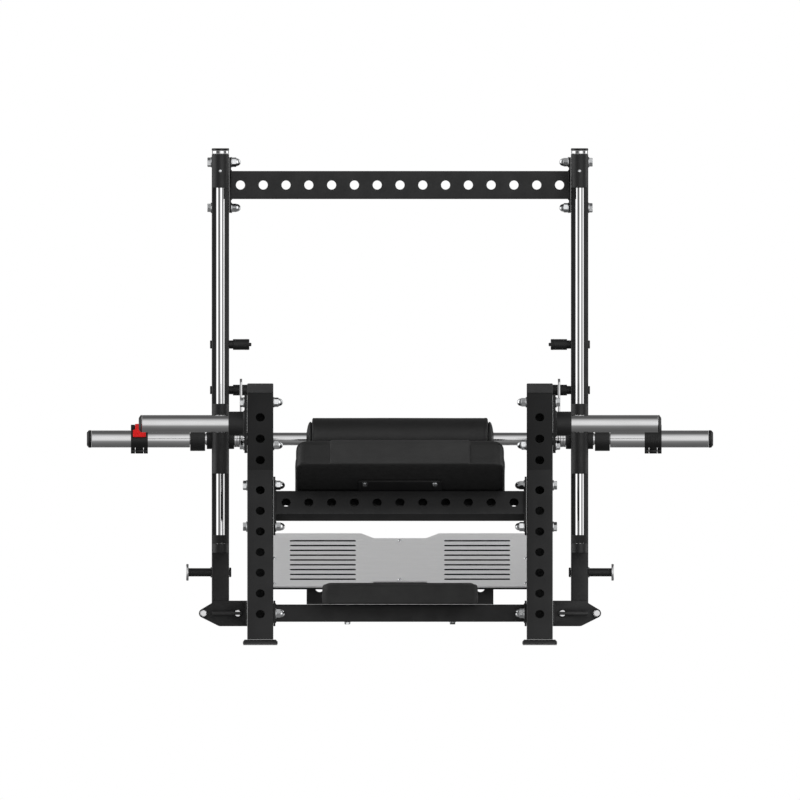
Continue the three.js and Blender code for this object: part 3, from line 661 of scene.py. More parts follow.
def socket_screw(name, radius, rise):
    """A button head with a hexagon socket, standing on z = 0."""
    arc = [(rise * math.sin(a), radius * math.cos(a)) for a in even_steps(0, math.pi / 2, 8)[:-2]]
    profile = [(-0.002, 0), (-0.002, radius * 0.6), (-0.0002, radius * 0.97), *arc, (rise, 0)]
    key = moved(hexagon("key", radius * 0.9, rise * 1.5, 1.3), 0, 0, rise * 0.35)
    return painted(cut(turned(name, profile, "z", sides=40), [key]), ZINC)


def flush_screw():
    disc = turned("disc", [(0, 0), (0, 0.0098), (0.0016, 0.0102, 0.0003), (0.0016, 0)], "z", sides=40)
    return painted(cut(disc, [hexagon("key", 0.008, 0.004, 1.3)]), ZINC)


def stamped(name, template, matrices):
    """One object with a copy of the template at each matrix, each turned a little further."""
    return joined(name, [
        place(linked(f"{name}_{i}", template.data.copy()), matrix @ Matrix.Rotation(0.37 * i, 4, "Z"))
        for i, matrix in enumerate(matrices)
    ])


HEAD, NUT, SCREW = bolt_head(), acorn_nut(), socket_screw("screw", 0.006, 0.0035)
SMALL_SCREW = socket_screw("small_screw", 0.0045, 0.002)
FLUSH = flush_screw()
DOWN = Matrix.Rotation(math.pi, 4, "X")


def bolted(name, centre, way, head_x, nut_x):
    """On both sides, bolt heads that face outwards and acorn nuts that face inwards, a pitch each way
    from centre."""
    rows = [(side, centre + way * step * PITCH) for _, side in SIDES for step in (-1, 1)]
    for kind, template, face, x in (("bolt_heads", HEAD, outward, head_x), ("acorn_nuts", NUT, inward, nut_x)):
        matrices = [facing(face(side), at + Vector((side * x, 0, 0))) for side, at in rows]
        piece(stamped(f"{name}_{kind}", template, matrices))


# ---- Uprights and feet ----
def cross_drills(start, way, count, first):
    """Drills along a tube, by turns from side to side and from front to back, half a pitch apart."""
    return [
        drill(AXES["x"] if i % 2 == 0 else way.cross(AXES["x"]), start + way * i * PITCH / 2)
        for i in range(first, first + count)
    ]


def make_uprights():
    foot_z = high("front_foot_right").z + GAP
    for name, side in SIDES:
        shift = Vector((side * UPRIGHT_X, 0, 0))
        top = KNEE + UPPER_WAY * (UPPER_LENGTH - PLUG_THICK - GAP)
        tube = swept_tube(f"upright_{name}_tube", [
            (Vector((0, upright_y(foot_z), foot_z)) + shift, AXES["z"]),
            (KNEE + shift, (LOWER_WAY + UPPER_WAY).normalized()),
            (top + shift, UPPER_WAY),
        ], TUBE, TUBE)
        drills = cross_drills(PAD_BEAM + shift, LOWER_WAY, 14, -11)
        drills += cross_drills(STORAGE + shift, UPPER_WAY, 6, -3)
        piece(softened(cut(tube, drills)), PAINT, [f"upright_{name}"])
        plug = slab("plug", rectangle(TUBE, TUBE, TUBE_CORNER), PLUG_THICK, bevel=0.0012)
        place(plug, Matrix.Translation(top + shift + UPPER_WAY * GAP) @ Matrix.Rotation(LEAN_FORWARD, 4, "X"))
        piece(plug, PLUG_PLASTIC, name=f"upright_{name}_plug")


def foot_block(width, length, height):
    """A steel foot block whose top edge is chamfered all round."""
    chamfer = FOOT["chamfer"]
    bm = bmesh.new()
    rings = []
    for inset, z in ((0.0008, 0), (0, 0.0008), (0, height - chamfer), (chamfer * 0.85, height)):
        loop = rectangle(width - 2 * inset, length - 2 * inset, FOOT["corner"] - inset * 0.5)
        rings.append([bm.verts.new((x, y, z)) for x, y in loop])
    skin(bm, rings, caps=True)
    return mesh_object("foot_block", bm)


def make_feet():
    for node in (f"{end}_foot_{name}" for end in ("front", "rear") for name, _ in SIDES):
        width, length, height = size(node)
        centre = middle(node)
        pad = slab("pad", rectangle(width - 0.002, length - 0.002, FOOT["corner"]), FOOT["rubber"], bevel=0.0007)
        piece(moved(pad, centre.x, centre.y, 0), RUBBER, name=f"{node}_rubber")
        floor = FOOT["rubber"] + GAP
        plate = moved(foot_block(width, length, height - floor), centre.x, centre.y, floor)
        piece(plate, PAINT, [node], name=f"{node}_plate")


# ---- Beams and floor frame ----
def flange(axis, at, width, length, hole=None, thick=FLANGE["thick"], bevel=0.0008):
    """A flange plate that stands on at, with bolt holes a pitch each way along its longer side."""
    x, y = (0, PITCH) if length > width else (PITCH, 0)
    holes = [circle(step * x, step * y, hole) for step in (-1, 1)] if hole else []
    return place(slab("flange", rectangle(width, length, FLANGE["corner"]), thick, holes, bevel), facing(axis, at))


def weld_bead(width, height, face, side, centre=(0, 0), radius=0.003):
    """A rippled fillet weld round a rectangular tube, against a plate at face."""
    loop = section(width + radius * 0.4, height + radius * 0.4, TUBE_CORNER, 6)
    path = []
    for start, stop in zip(loop, loop[1:] + loop[:1]):
        steps = max(1, int(math.dist(start, stop) / 0.002))
        path += [Vector(start).lerp(Vector(stop), step / steps) for step in range(steps)]
    bm = bmesh.new()
    rings = []
    for i, point in enumerate(path):
        way = (path[(i + 1) % len(path)] - path[i - 1]).normalized()
        swell = radius * (1 + 0.09 * math.sin(i * 1.9))
        ring = []
        for angle in (math.pi / 3 * step for step in range(6)):
            y, z = point + Vector((way.y, -way.x)) * (swell * math.cos(angle))
            ring.append(bm.verts.new((face - side * swell * math.sin(angle) * 0.9, centre[0] + y, centre[1] + z)))
        rings.append(ring)
    skin(bm, rings, closed=True)
    return mesh_object("weld", bm, 80)


def cross_beam(node, span, width, height, centre=(0, 0), plates=(), holes=0, bead=0.003):
    """A hollow tube along X out to span each way, with holes a pitch apart to each side of a middle
    one, its end plates and its weld beads."""
    tube = swept_tube("tube", [(Vector((x, *centre)), AXES["x"]) for x in (-span, span)], width, height, AXES["y"])
    if holes:
        softened(cut(tube, [drill("y", (i * PITCH, *centre)) for i in range(-holes, holes + 1)]))
    welds = [weld_bead(width, height, side * span, side, centre, bead) for _, side in SIDES]
    return joined(f"{node}_weldment", [tube, *plates, *welds])


def make_beams():
    reach = high("pad_crossbeam").x
    span = reach - FLANGE["thick"]
    size_of = {"length": FLANGE["length"], "hole": FLANGE["hole"]}
    plates = [flange(inward(s), (s * reach, 0, 0), TUBE, **size_of) for _, s in SIDES]
    whole = cross_beam("pad_crossbeam", span, SLIM, TUBE, plates=plates, holes=5)
    piece(place(whole, TILT), PAINT, ["pad_crossbeam"])
    bolted("pad_beam", PAD_BEAM, LOWER_WAY, UPRIGHT_X + TUBE / 2, span)

    reach = high("top_crossbeam").x
    span = reach - FLANGE["thick"]
    mid_z = middle("top_crossbeam").z
    plates = [flange(inward(s), (s * reach, COLUMN.y, mid_z), SLIM, **size_of) for _, s in SIDES]
    piece(cross_beam("top_crossbeam", span, SLIM, TOP_BEAM["height"], (COLUMN.y, mid_z), plates, TOP_BEAM["holes"]),
          PAINT, ["top_crossbeam"])
    bolted("top_beam", Vector((0, COLUMN.y, mid_z)), AXES["z"], COLUMN_OUTER, span)

    reach = high("seat_crossmember").x
    span = reach - FLANGE["thick"]
    plates = [flange(inward(s), (s * reach, COLUMN.y, RAIL_Z), FLANGE["length"], RAIL_HEIGHT) for _, s in SIDES]
    centre = (COLUMN.y, (SEAT_TUBE["low"] + SEAT_TUBE["high"]) / 2)
    piece(cross_beam("seat_crossmember", span, SLIM, SLIM, centre, plates), PAINT, ["seat_crossmember"])
    nuts = [facing(inward(s), (s * span, COLUMN.y + step * PITCH, RAIL_Z)) for _, s in SIDES for step in (-1, 1)]
    piece(stamped("seat_tube_acorn_nuts", NUT, nuts))
    heads = [Matrix.Translation((s * SEAT_TUBE["bolt_x"], COLUMN.y, SEAT_TUBE["low"])) @ DOWN @ Matrix.Scale(0.6, 4)
             for s in (-1, 1)]
    piece(stamped("seat_pad_bolts", HEAD, heads))

    for node in ("rear_crossbeam", "foot_crossmember"):
        centre, (_, width, height) = middle(node), size(node)
        piece(cross_beam(node, high(node).x, width, height, (centre.y, centre.z), bead=0.0025), PAINT, [node])


def make_rails():
    front_y = upright_y(RAIL_Z) + TUBE / 2 / math.cos(LEAN_BACK) + GAP
    for name, side in SIDES:
        tube = swept_tube(f"side_rail_{name}_tube", [
            (Vector((side * UPRIGHT_X, front_y, RAIL_Z)), Vector((0, math.cos(LEAN_BACK), -math.sin(LEAN_BACK)))),
            (Vector((side * UPRIGHT_X, RAIL_HIGH.y, RAIL_Z)), AXES["y"]),
        ], TUBE, RAIL_HEIGHT)
        piece(tube, PAINT, [f"side_rail_{name}"])


def make_rear_posts():
    slope = Vector((0, -math.sin(FOOT_TILT), math.cos(FOOT_TILT)))
    inside = TUBE - 2 * WALL - 2 * GAP
    for name, _ in SIDES:
        for node, depth in ((f"foot_plate_post_{name}", SLIM), (f"rear_post_{name}", TUBE)):
            x, y, _ = middle(node)
            peak = high(node).z - depth / 2 * math.tan(FOOT_TILT)
            stations = [(Vector((x, y, low(node).z)), AXES["z"]), (Vector((x, y, peak)), slope)]
            tube = swept_tube(f"{node}_tube", stations, TUBE, depth)
            if depth == SLIM:
                cut(tube, [drill("y", (x, y, POST_HOLE_Z))])
            piece(softened(tube), PAINT, [node])
        plug = slab("plug", rectangle(inside, inside / math.cos(FOOT_TILT), WALL), PLUG_THICK, bevel=0.0006)
        lean = Matrix.Rotation(FOOT_TILT, 4, "X") @ Matrix.Translation((0, 0, -PLUG_THICK))
        place(plug, Matrix.Translation((x, y, peak)) @ lean)
        piece(plug, BLACK_PLASTIC, name=f"rear_post_{name}_plug")


# ---- Tower ----
def make_columns():
    corner = COLUMN_HOLES["corner"]
    for name, side in SIDES:
        floor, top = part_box(f"column_{name}")
        x = side * COLUMN.x
        stations = [(Vector((x, COLUMN.y, z)), AXES["z"]) for z in (floor.z, top.z - PLUG_THICK - GAP)]
        tube = swept_tube(f"column_{name}_tube", stations, SLIM, SLIM, corner=corner)
        cut(tube, [drill("x", (x, COLUMN.y, COLUMN_HOLES["high"] - i * PITCH)) for i in range(COLUMN_HOLES["count"])])
        piece(softened(tube), PAINT, [f"column_{name}"])
        plug = slab("plug", rectangle(SLIM, SLIM, corner), PLUG_THICK, bevel=0.001)
        moved(plug, x, COLUMN.y, top.z - PLUG_THICK)
        piece(plug, BLACK_PLASTIC, name=f"column_{name}_plug")


def make_outriggers():
    start = UPRIGHT_X + TUBE / 2 + GAP
    inside = SLIM / 2 + GAP
    reach = COLUMN_INNER - start
    tip = [(ARM["tip_x"] + ARM["tip"] * math.cos(a), ARM["tip_z"] + ARM["tip"] * math.sin(a))
           for a in even_steps(-ARM["arc"], ARM["arc"], 12)]
    shape = outline([
        (start, RAIL_LOW.z), (ARM["chin_x"], RAIL_LOW.z, 0.02), *tip, (COLUMN_OUTER, ARM["shoulder_z"]),
        (COLUMN_OUTER - 0.001, RAIL_HIGH.z), (start, RAIL_HIGH.z),
    ])
    peg_hole = circle(ARM["tip_x"], ARM["tip_z"], ARM["peg"] + 0.0002)
    lock_hole = circle(LOCK["x"], ARM["tip_z"], LOCK["radius"] + 0.001)
    stand = Matrix(((1, 0, 0, 0), (0, 0, -1, 0), (0, 1, 0, 0), (0, 0, 0, 1)))
    near, far = COLUMN.y - inside - ARM["plate"], COLUMN.y + inside + ARM["plate"]
    for name, side in SIDES:
        parts = []
        for y, holes in ((COLUMN.y - inside, [peg_hole, lock_hole]), (far, [peg_hole])):
            plate = slab("plate", shape, ARM["plate"], holes, 0.0012)
            parts.append(mirrored(place(plate, Matrix.Translation((0, y, 0)) @ stand), side))
        for z in (RAIL_LOW.z + 0.0005, RAIL_HIGH.z - WALL - 0.0005):
            web = slab("web", rectangle(reach, 2 * inside - GAP, 0.002), WALL, bevel=0.0004)
            parts.append(moved(web, side * (start + reach / 2), COLUMN.y, z))
        parts.append(flange(outward(side), (side * start, COLUMN.y, RAIL_Z), FLANGE["length"], RAIL_HEIGHT, 0.0105))
        piece(joined(f"outrigger_{name}_weldment", parts), PAINT, [f"outrigger_{name}"])
        flush_x = side * (start + FLANGE["thick"] - 0.002)
        flush = [facing(outward(side), (flush_x, COLUMN.y + s * PITCH, RAIL_Z)) for s in (-1, 1)]
        piece(stamped(f"outrigger_{name}_flush_screws", FLUSH, flush))
        first, last, radius = near - 0.034, far + 0.012, ARM["peg"]
        peg = turned(f"outrigger_{name}_band_hook", [
            (first, 0), (first, radius, 0.002), (first + 0.004, radius), (first + 0.005, radius - 0.001),
            (first + 0.007, radius - 0.001), (first + 0.008, radius), (last, radius, 0.002), (last, 0),
        ], "y", (side * ARM["tip_x"], 0, ARM["tip_z"]))
        piece(peg, CHROME)
        make_lock_pin(f"lock_pin_{name}", side)


def make_lock_pin(node, side):
    start, stop = low(node).y, high(node).y
    radius, grip, handle = LOCK["radius"], LOCK["grip"], LOCK["handle"]
    pin = turned("pin", [
        (start + 0.0108, 0), (start + 0.0108, radius, 0.0015), (start + 0.02, radius, 0.0005),
        (start + 0.02, radius - 0.0015), (stop - 0.003, radius - 0.0015), (stop, radius - 0.004), (stop, 0),
    ], "y", (side * LOCK["x"], 0, ARM["tip_z"]))
    lever = turned("grip", [
        (LOCK["x"] - 0.0115, 0), (LOCK["x"] - 0.0115, grip - 0.0005, 0.0015), (LOCK["x"] + 0.014, grip - 0.0005),
        (LOCK["x"] + 0.015, grip, 0.0004), (handle - 0.004, grip), (handle, grip - 0.0008, 0.0012), (handle, 0),
    ], "x", (0, start + 0.006, ARM["tip_z"]))
    parts = [painted(pin, CHROME), painted(mirrored(lever, side), GRIP_PLASTIC)]
    piece(joined(f"{node}_pull", parts), None, [node], node)


# ---- Guide rods and carriages ----
def on_rod(name, profile, side, sides=96):
    """A turned piece on a guide rod's axis."""
    return turned(name, profile, "z", (side * ROD.x, ROD.y, 0), sides)


def holder(node, profile, low_z, high_z, side):
    """A rod holder: its barrel, and the arm that ties it to the column behind."""
    reach = COLUMN_INNER_Y - GAP - ROD.y
    arm = slab("arm", rectangle(HOLDER["arm"], reach, 0.004), high_z - low_z - 0.002, bevel=0.0015)
    moved(arm, side * ROD.x, ROD.y + reach / 2, low_z + 0.001)
    piece(joined(f"{node}_clamp", [on_rod("barrel", profile, side), arm]), PAINT, [node])


COLUMN_INNER_Y = COLUMN.y - SLIM / 2


def make_rods():
    outer, neck, cap = HOLDER["radius"], HOLDER["neck"], HOLDER["cap"]
    bore = ROD_RADIUS + GAP
    for name, side in SIDES:
        node = f"guide_rod_{name}"
        rod = on_rod(f"{node}_bar", straight(low(node).z, high(node).z, 0, ROD_RADIUS, 0.0015), side)
        piece(rod, ROD_CHROME, [node])
        node = f"rod_holder_top_{name}"
        low_z, top_z = low(node).z, high(node).z
        holder(node, straight(low_z, neck, bore, outer, 0.0015), low_z, neck, side)
        piece(on_rod(f"{node}_collar", straight(neck + GAP, cap - GAP, 0, outer - 0.0005, 0.001), side), ROD_CHROME)
        piece(on_rod(f"{node}_cap", straight(cap, top_z, 0, SLIM / 2, 0.0015, 0.0025), side), BLACK_PLASTIC)
        node = f"rod_holder_base_{name}"
        low_z, top_z = low(node).z, high(node).z
        sole = low_z + HOLDER["sole"]
        holder(node, [
            (low_z, 0), (low_z, outer, 0.0015), (top_z, outer, 0.0008), (top_z, bore), (sole, bore), (sole, 0),
        ], low_z, top_z, side)
        node = f"rod_bumper_{name}"
        ring = straight(low(node).z, high(node).z, bore, outer, 0.0006, 0.0015)
        piece(on_rod(f"{node}_ring", ring, side), RUBBER, [node])
        grub = facing("-y", (side * ROD.x, ROD.y - outer + 0.0006, HOLDER["grub_z"]))
        piece(stamped(f"rod_grub_screw_{name}", SMALL_SCREW, [grub]))


def make_carriages():
    bore, inner, outer = CARRIAGE["bore"], CARRIAGE["inner"], CARRIAGE["outer"]
    for name, side in SIDES:
        node = f"carriage_{name}"
        low_z, top_z = low(node).z, high(node).z
        barrel = on_rod("barrel", straight(low_z, top_z, bore, HOLDER["radius"], 0.0018), side)
        ring = straight(inner, outer, CARRIAGE["housing_bore"], high(node).y - BAR.y, 0.0015)
        piece(joined(f"{node}_body", [barrel, on_bar("housing", ring, side)]), PAINT, [node], "carriages")
        node = f"linear_bushing_{name}"
        for end, z, way in (("low", low_z, 1), ("high", top_z, -1)):
            lip = straight(z + 0.0006 * way, z + 0.004 * way, ROD_RADIUS + 0.0002, bore - GAP, 0.0005, 0.0)
            piece(on_rod(f"{node}_{end}_seal", lip, side, 64), RUBBER, body="carriages")
        liner = straight(low_z + 0.0045, top_z - 0.0045, ROD_RADIUS + 0.0001, bore - GAP)
        piece(on_rod(f"{node}_liner", liner, side, 64), BRONZE, [node], "carriages")


# ---- Bar, hooks and sleeves ----
def make_bar():
    half, end, spindle = SHOULDER["inner"] - 0.0015, SPINDLE["end"], SPINDLE["radius"]
    shaft = on_bar("bar_shaft_turned", [
        (-end, 0), (-end, spindle, 0.001), (-half, spindle), (-half, BAR_RADIUS), (half, BAR_RADIUS),
        (half, spindle), (end, spindle, 0.001), (end, 0),
    ])
    piece(shaft, CHROME, ["bar_shaft"], "bar")
    inner, outer, radius = SHOULDER["inner"], SHOULDER["outer"], SHOULDER["radius"]
    start, stop, rim, waist = SPACER["start"], SPACER["stop"], SPACER["radius"], SPACER["waist"]
    for name, side in SIDES:
        collar = on_bar(f"bar_shoulder_{name}", straight(inner, outer - 0.0005, spindle, radius, 0.0018), side)
        grub = linked("grub", SMALL_SCREW.data.copy())
        place(grub, facing("z", (side * (inner + outer) / 2, BAR.y, BAR.z + radius - 0.0012)))
        piece(joined(f"bar_shoulder_collar_{name}", [painted(collar, PAINT), grub]), body="bar")
        spacer = on_bar(f"bar_spacer_{name}", [
            (start, BAR_RADIUS), (start, rim, 0.001), (0.4668, rim, 0.0006), (0.4672, waist), (0.4696, waist),
            (0.47, rim, 0.0006), (stop, rim, 0.001), (stop, BAR_RADIUS),
        ], side)
        piece(spacer, CHROME, body="bar")
        make_hook(f"rack_hook_{name}", side)
        make_sleeve(name, side)


def make_hook(node, side):
    jaw, top = HOOK["jaw"], HOOK["top"]
    tip = math.asin(HOOK["tip"] / jaw)
    throat = tip - math.radians(HOOK["swing"])
    throat_y = jaw * math.sin(throat)
    profile = outline([
        *circle_part(HOOK["collar"], math.radians(144), math.radians(396), 30),
        (throat_y - 0.004, jaw * 0.75, 0.02), *[(jaw * math.sin(a), jaw * math.cos(a)) for a in even_steps(throat, tip, 8)],
        (HOOK["tip"], top, 0.002), (throat_y - 0.016, top, 0.006), (throat_y - 0.024, top - 0.01, 0.008),
    ])
    hole = circle(0, 0, BAR_RADIUS + GAP, 48)
    plate = slab("hook", profile, HOOK["outer"] - HOOK["inner"], [hole], 0.0012)
    place(plate, facing("x", (HOOK["inner"] if side > 0 else -HOOK["outer"], BAR.y, BAR.z)))
    piece(plate, HOOK_STEEL, [node], "bar", f"{node}_plate")
    boss = straight(HOOK["boss_start"], HOOK["boss_stop"], BAR_RADIUS, HOOK["boss"], 0.0015, 0.0005)
    piece(on_bar(f"{node}_boss", boss, side), CHROME, body="bar")


def circle_part(radius, first, last, count):
    return [(radius * math.cos(a), radius * math.sin(a)) for a in even_steps(first, last, count)]


def make_sleeve(name, side):
    end, cap = BAR_SLEEVE["end"], BAR_SLEEVE["cap"]
    tube = straight(SHOULDER["outer"] + GAP, end, SPINDLE["radius"] + GAP, BAR_SLEEVE["radius"], 0.001)
    node = f"bar_sleeve_{name}"
    piece(on_bar(f"{node}_tube", tube, side, 128), CHROME, [node], f"sleeve_{name}")
    plug = on_bar(f"{node}_cap", [
        (end + GAP, 0), (end + GAP, cap, 0.0015), (end + 0.008, cap, 0.005), (BAR_SLEEVE["tip"], 0.0185, 0.006),
        (BAR_SLEEVE["tip"], 0),
    ], side, 128)
    piece(plug, BLACK_PLASTIC, body=f"sleeve_{name}")


# ---- Plate clamps ----
def extruded(name, profile, width, x, bevel=0.0012):
    """A slab whose outline is drawn in (y, z) about the bar and which is centred on x."""
    return place(slab(name, outline(profile), width, bevel=bevel), facing("x", (x - width / 2, BAR.y, BAR.z)))


def make_clamps():
    half, lug, radius = CLAMP["width"] / 2, CLAMP["lug"], CLAMP["radius"]
    for name, side in SIDES:
        x = CLAMP[name]
        ring = on_bar("ring", straight(x - half, x + half, CLAMP["bore"], radius, 0.0018))
        gaps = []
        for way in (-1, 1):
            gap = bmesh.new()
            at = Matrix.Translation((x + way * 0.485 * half, BAR.y, BAR.z - 0.036))
            bmesh.ops.create_cube(gap, size=1.0, matrix=at @ Matrix.Diagonal((0.0013, 0.08, 0.022, 1)))
            gaps.append(mesh_object("gap", gap))
        parts = [cut(ring, gaps)]

        def add(kind, profile, first, last, bevel):
            """An extruded part from first to last, in half widths of the clamp."""
            parts.append(extruded(kind, profile, (last - first) * half, x + (last + first) / 2 * half, bevel))

        for first, last in ((-1, -0.51), (-0.46, 0.46), (0.51, 1)):
            add("knuckle", [(-0.009, -0.028), (-0.009, -lug, 0.008), (0.009, -lug, 0.008), (0.009, -0.028)],
                first, last, 0.001)
        for first, last, top in ((-1, -0.54, 0.041), (-0.54, 0.54, 0.0385), (0.54, 1, 0.041)):
            add("ear", [(-0.008, 0.028), (0.0075, 0.028), (0.0075, top, 0.003), (-0.008, top, 0.005)],
                first, last, 0.0012)
        near, far = side * -radius * 1.005, side * -radius * 1.02
        parts += [extruded("rib", [(near, -0.011), (far, -0.011), (far, 0.011), (near, 0.011)], 0.002,
                           x + step * 0.007, 0.0002) for step in range(-2, 3)]
        parts = [painted(part, BLACK_PLASTIC) for part in parts]
        pin = turned("hinge_pin", straight(x - half + 0.001, x + half - 0.001, 0, 0.0035), "x",
                     (0, BAR.y, BAR.z - lug + 0.008), 24)
        parts.append(painted(pin, ZINC))
        node = f"clamp_ring_{name}"
        piece(joined(f"{node}_shell", parts), None, [node], f"sleeve_{name}")
        make_lever(f"clamp_lever_{name}", side, x)


def make_lever(node, side, x):
    near, far, root = (side * LEVER[key] for key in ("near", "far", "root"))
    half, thumb, shoulder, top = (LEVER[key] for key in ("half", "thumb", "shoulder", "top"))
    face = "y" if side > 0 else "-y"
    right = [(half, LEVER["low"], 0.0025), (half, shoulder, 0.0025), (thumb, shoulder + 0.002, 0.002),
             (thumb, top, 0.0015)]
    left = [(-a, b, corner) for a, b, corner in reversed(right)]
    paddle = slab("paddle", outline(left[-1:] + right + left[:-1]), abs(far - near), bevel=0.0016)
    bridge = extruded("bridge", [
        (root, 0.0362, 0.003), (far - side * 0.001, 0.0362), (far - side * 0.001, top, 0.002), (root, top, 0.003),
    ], 2 * thumb - 0.0006, x)
    parts = [place(paddle, facing(face, (x, BAR.y + near, BAR.z))), bridge]
    for step in range(-2, 3):
        rib = slab("rib", rectangle(0.0022, 0.012, 0.001), 0.0012, bevel=0.0005)
        at = (x + step * 0.006, BAR.y + far - side * 0.0006, BAR.z + LEVER["low"] + 0.0095)
        parts.append(place(rib, facing(face, at)))
    parts = [painted(part, GLOWING_RED_PLASTIC) for part in parts]
    axle = turned("axle", straight(x - 0.0135, x + 0.0135, 0, 0.0022, 0.0005), "x",
                  (0, BAR.y + side * LEVER["pivot_y"], BAR.z + LEVER["pivot_z"]), 24)
    piece(joined(f"{node}_cam", [*parts, painted(axle, ZINC)]), None, [node], node)


# ---- Pegs and storage ----
def on_column(name, profile, z, side, sides=64):
    """A turned piece square through a column, mirrored to its side."""
    return mirrored(turned(name, profile, "x", (0, COLUMN.y, z), sides), side)


def make_pegs():
    start, nub, neck, out = (RACK_PEG[key] for key in ("end", "nub", "neck", "out"))
    barrel, shank, stem = (RACK_PEG[key] for key in ("radius", "shank", "stem"))
    inner = COLUMN_INNER - GAP
    for name, side in SIDES:
        for level in ("low", "high"):
            z = RACK_PEG[level]
            parts = [on_column("body", [
                (start, 0), (start, barrel, 0.0015), (neck, barrel, 0.0012), (neck, shank), (inner, shank),
                (inner, stem), (out, stem, 0.0015), (out, 0),
            ], z, side), on_column("nub", straight(nub, start, 0, 0.005, 0.002, 0.0), z, side, 32)]
            parts += [on_column("ridge", straight(at, at + 0.0012, 0.015, 0.0159, 0.0003), z, side)
                      for at in RACK_PEG["ridges"]]
            node = f"rack_peg_{level}_{name}"
            piece(joined(f"{node}_pin", parts), PAINT, [node], node)

        z, end, radius = BAND_PEG["z"], BAND_PEG["end"], BAND_PEG["radius"]
        peg = on_column("peg", [
            (BAND_PEG["nut"] + 0.0005, 0), (BAND_PEG["nut"] + 0.0005, 0.008), (COLUMN_INNER, 0.008),
            (COLUMN_OUTER, 0.008), (COLUMN_OUTER + GAP, radius + 0.003, 0.0008),
            (COLUMN_OUTER + 0.003, radius + 0.003, 0.0008), (COLUMN_OUTER + 0.0035, radius), (end, radius), (end, 0),
        ], z, side)
        rim = straight(end, end + BAND_PEG["disc"], 0, BAND_PEG["disc_radius"], 0.0018, 0.0025)
        parts = [painted(peg, PAINT), painted(on_column("disc", rim, z, side, 96), CHROME)]
        piece(joined(f"band_peg_{name}_turned", parts), None, [f"band_peg_{name}"])
        nut = hexagon(f"band_peg_{name}_nut", 2 * radius, COLUMN_INNER - BAND_PEG["nut"])
        piece(place(nut, facing(inward(side), (side * inner, COLUMN.y, z), math.pi / 6)), PAINT)


def make_storage():
    inner = UPRIGHT_X + TUBE / 2 + GAP
    start, end, tip, radius, rim = (STORE[key] for key in ("collar", "end", "tip", "radius", "collar_radius"))
    for name, side in SIDES:
        mirror = TILT_UPPER @ Matrix.Scale(side, 4, AXES["x"])
        plate = flange("x", (inner, 0, 0), TUBE, FLANGE["length"], FLANGE["hole"], STORE["plate"], 0.001)
        collar = turned("collar", straight(inner + 0.007, start, 0, rim, 0.0, 0.0022), sides=96)
        weld = turned("seat_weld", [
            (inner + 0.0078, 0.03), (inner + 0.0078, 0.039), (inner + 0.0095, 0.038, 0.001), (inner + 0.0125, 0.0345),
        ], sides=96)
        piece(place(joined(f"storage_flange_{name}", [plate, collar, weld]), mirror), PAINT)
        node = f"storage_sleeve_{name}"
        tube = turned(f"{node}_tube", straight(start - 0.001, end, 0, radius, 0.0, 0.001), sides=128)
        piece(place(tube, mirror), CHROME, [node])
        cap = turned(f"{node}_cap", [
            (end + GAP, 0), (end + GAP, radius + 0.0004, 0.001), (end + 0.003, radius + 0.0004, 0.002),
            (tip, 0.0165, 0.01), (tip, 0),
        ], sides=128)
        piece(place(cap, mirror), BLACK_PLASTIC)
    bolted("storage", STORAGE, UPPER_WAY, inner + STORE["plate"], UPRIGHT_X - TUBE / 2)


TILT_UPPER = Matrix.Translation(STORAGE) @ Matrix.Rotation(LEAN_FORWARD, 4, "X")


# ---- Foot plate ----
def plate_outline(inset=0.0):
    half, length, corner = PLATE["half"] - inset, PLATE["length"] - inset, PLATE["corner"]
    right = [
        (WAIST["inner"], WAIST["near"] + inset, corner), (WAIST["outer"], inset, corner), (half, inset, corner),
        (half, length, corner), (WAIST["outer"], length, corner), (WAIST["inner"], length - WAIST["far"], corner),
    ]
    return outline(right + [(-x, y, radius) for x, y, radius in reversed(right)])


def make_foot_plate():
    centre, across = (SLOT["inner"] + SLOT["outer"]) / 2, SLOT["outer"] - SLOT["inner"]
    slots = [
        rectangle(across, SLOT["width"], SLOT["width"] / 2 - 0.0001, side * centre, SLOT["first"] + i * SLOT["step"])
        for side in (-1, 1) for i in range(SLOT["count"])
    ]
    plate = slab("foot_plate_sheet", plate_outline(), PLATE["thick"], slots, 0.0009)
    painted(plate, ALUMINIUM).data.materials.append(PAINT)
    last_slot = SLOT["first"] + SLOT["count"] * SLOT["step"]
    # The slot walls get the black coat instead of aluminium: painted shade down the slots.
    for face in plate.data.polygons:
        x, y, _ = face.center
        in_slots = SLOT["inner"] - 0.001 < abs(x) < SLOT["outer"] + 0.001 and 0.03 < y < last_slot
        face.material_index = 1 if in_slots and face.normal.z < 0.5 else 0
    piece(place(plate, ON_PLATE), None, ["foot_plate"])
    tray = slab("foot_plate_tray_sheet", plate_outline(0.001), PLATE["tray"] - GAP)
    piece(place(tray, ON_PLATE @ Matrix.Translation((0, 0, -PLATE["tray"]))), PAINT, ["foot_plate_tray"])
    screws = [(0, PLATE["length"] - 0.042), (0, 0.04)]
    screws += [(s * (PLATE["half"] - 0.016), PLATE["length"] * t) for s in (-1, 1) for t in (0.53, 0.057)]
    heads = [ON_PLATE @ Matrix.Translation((x, y, PLATE["thick"])) for x, y in screws]
    piece(stamped("foot_plate_screws", SCREW, heads))


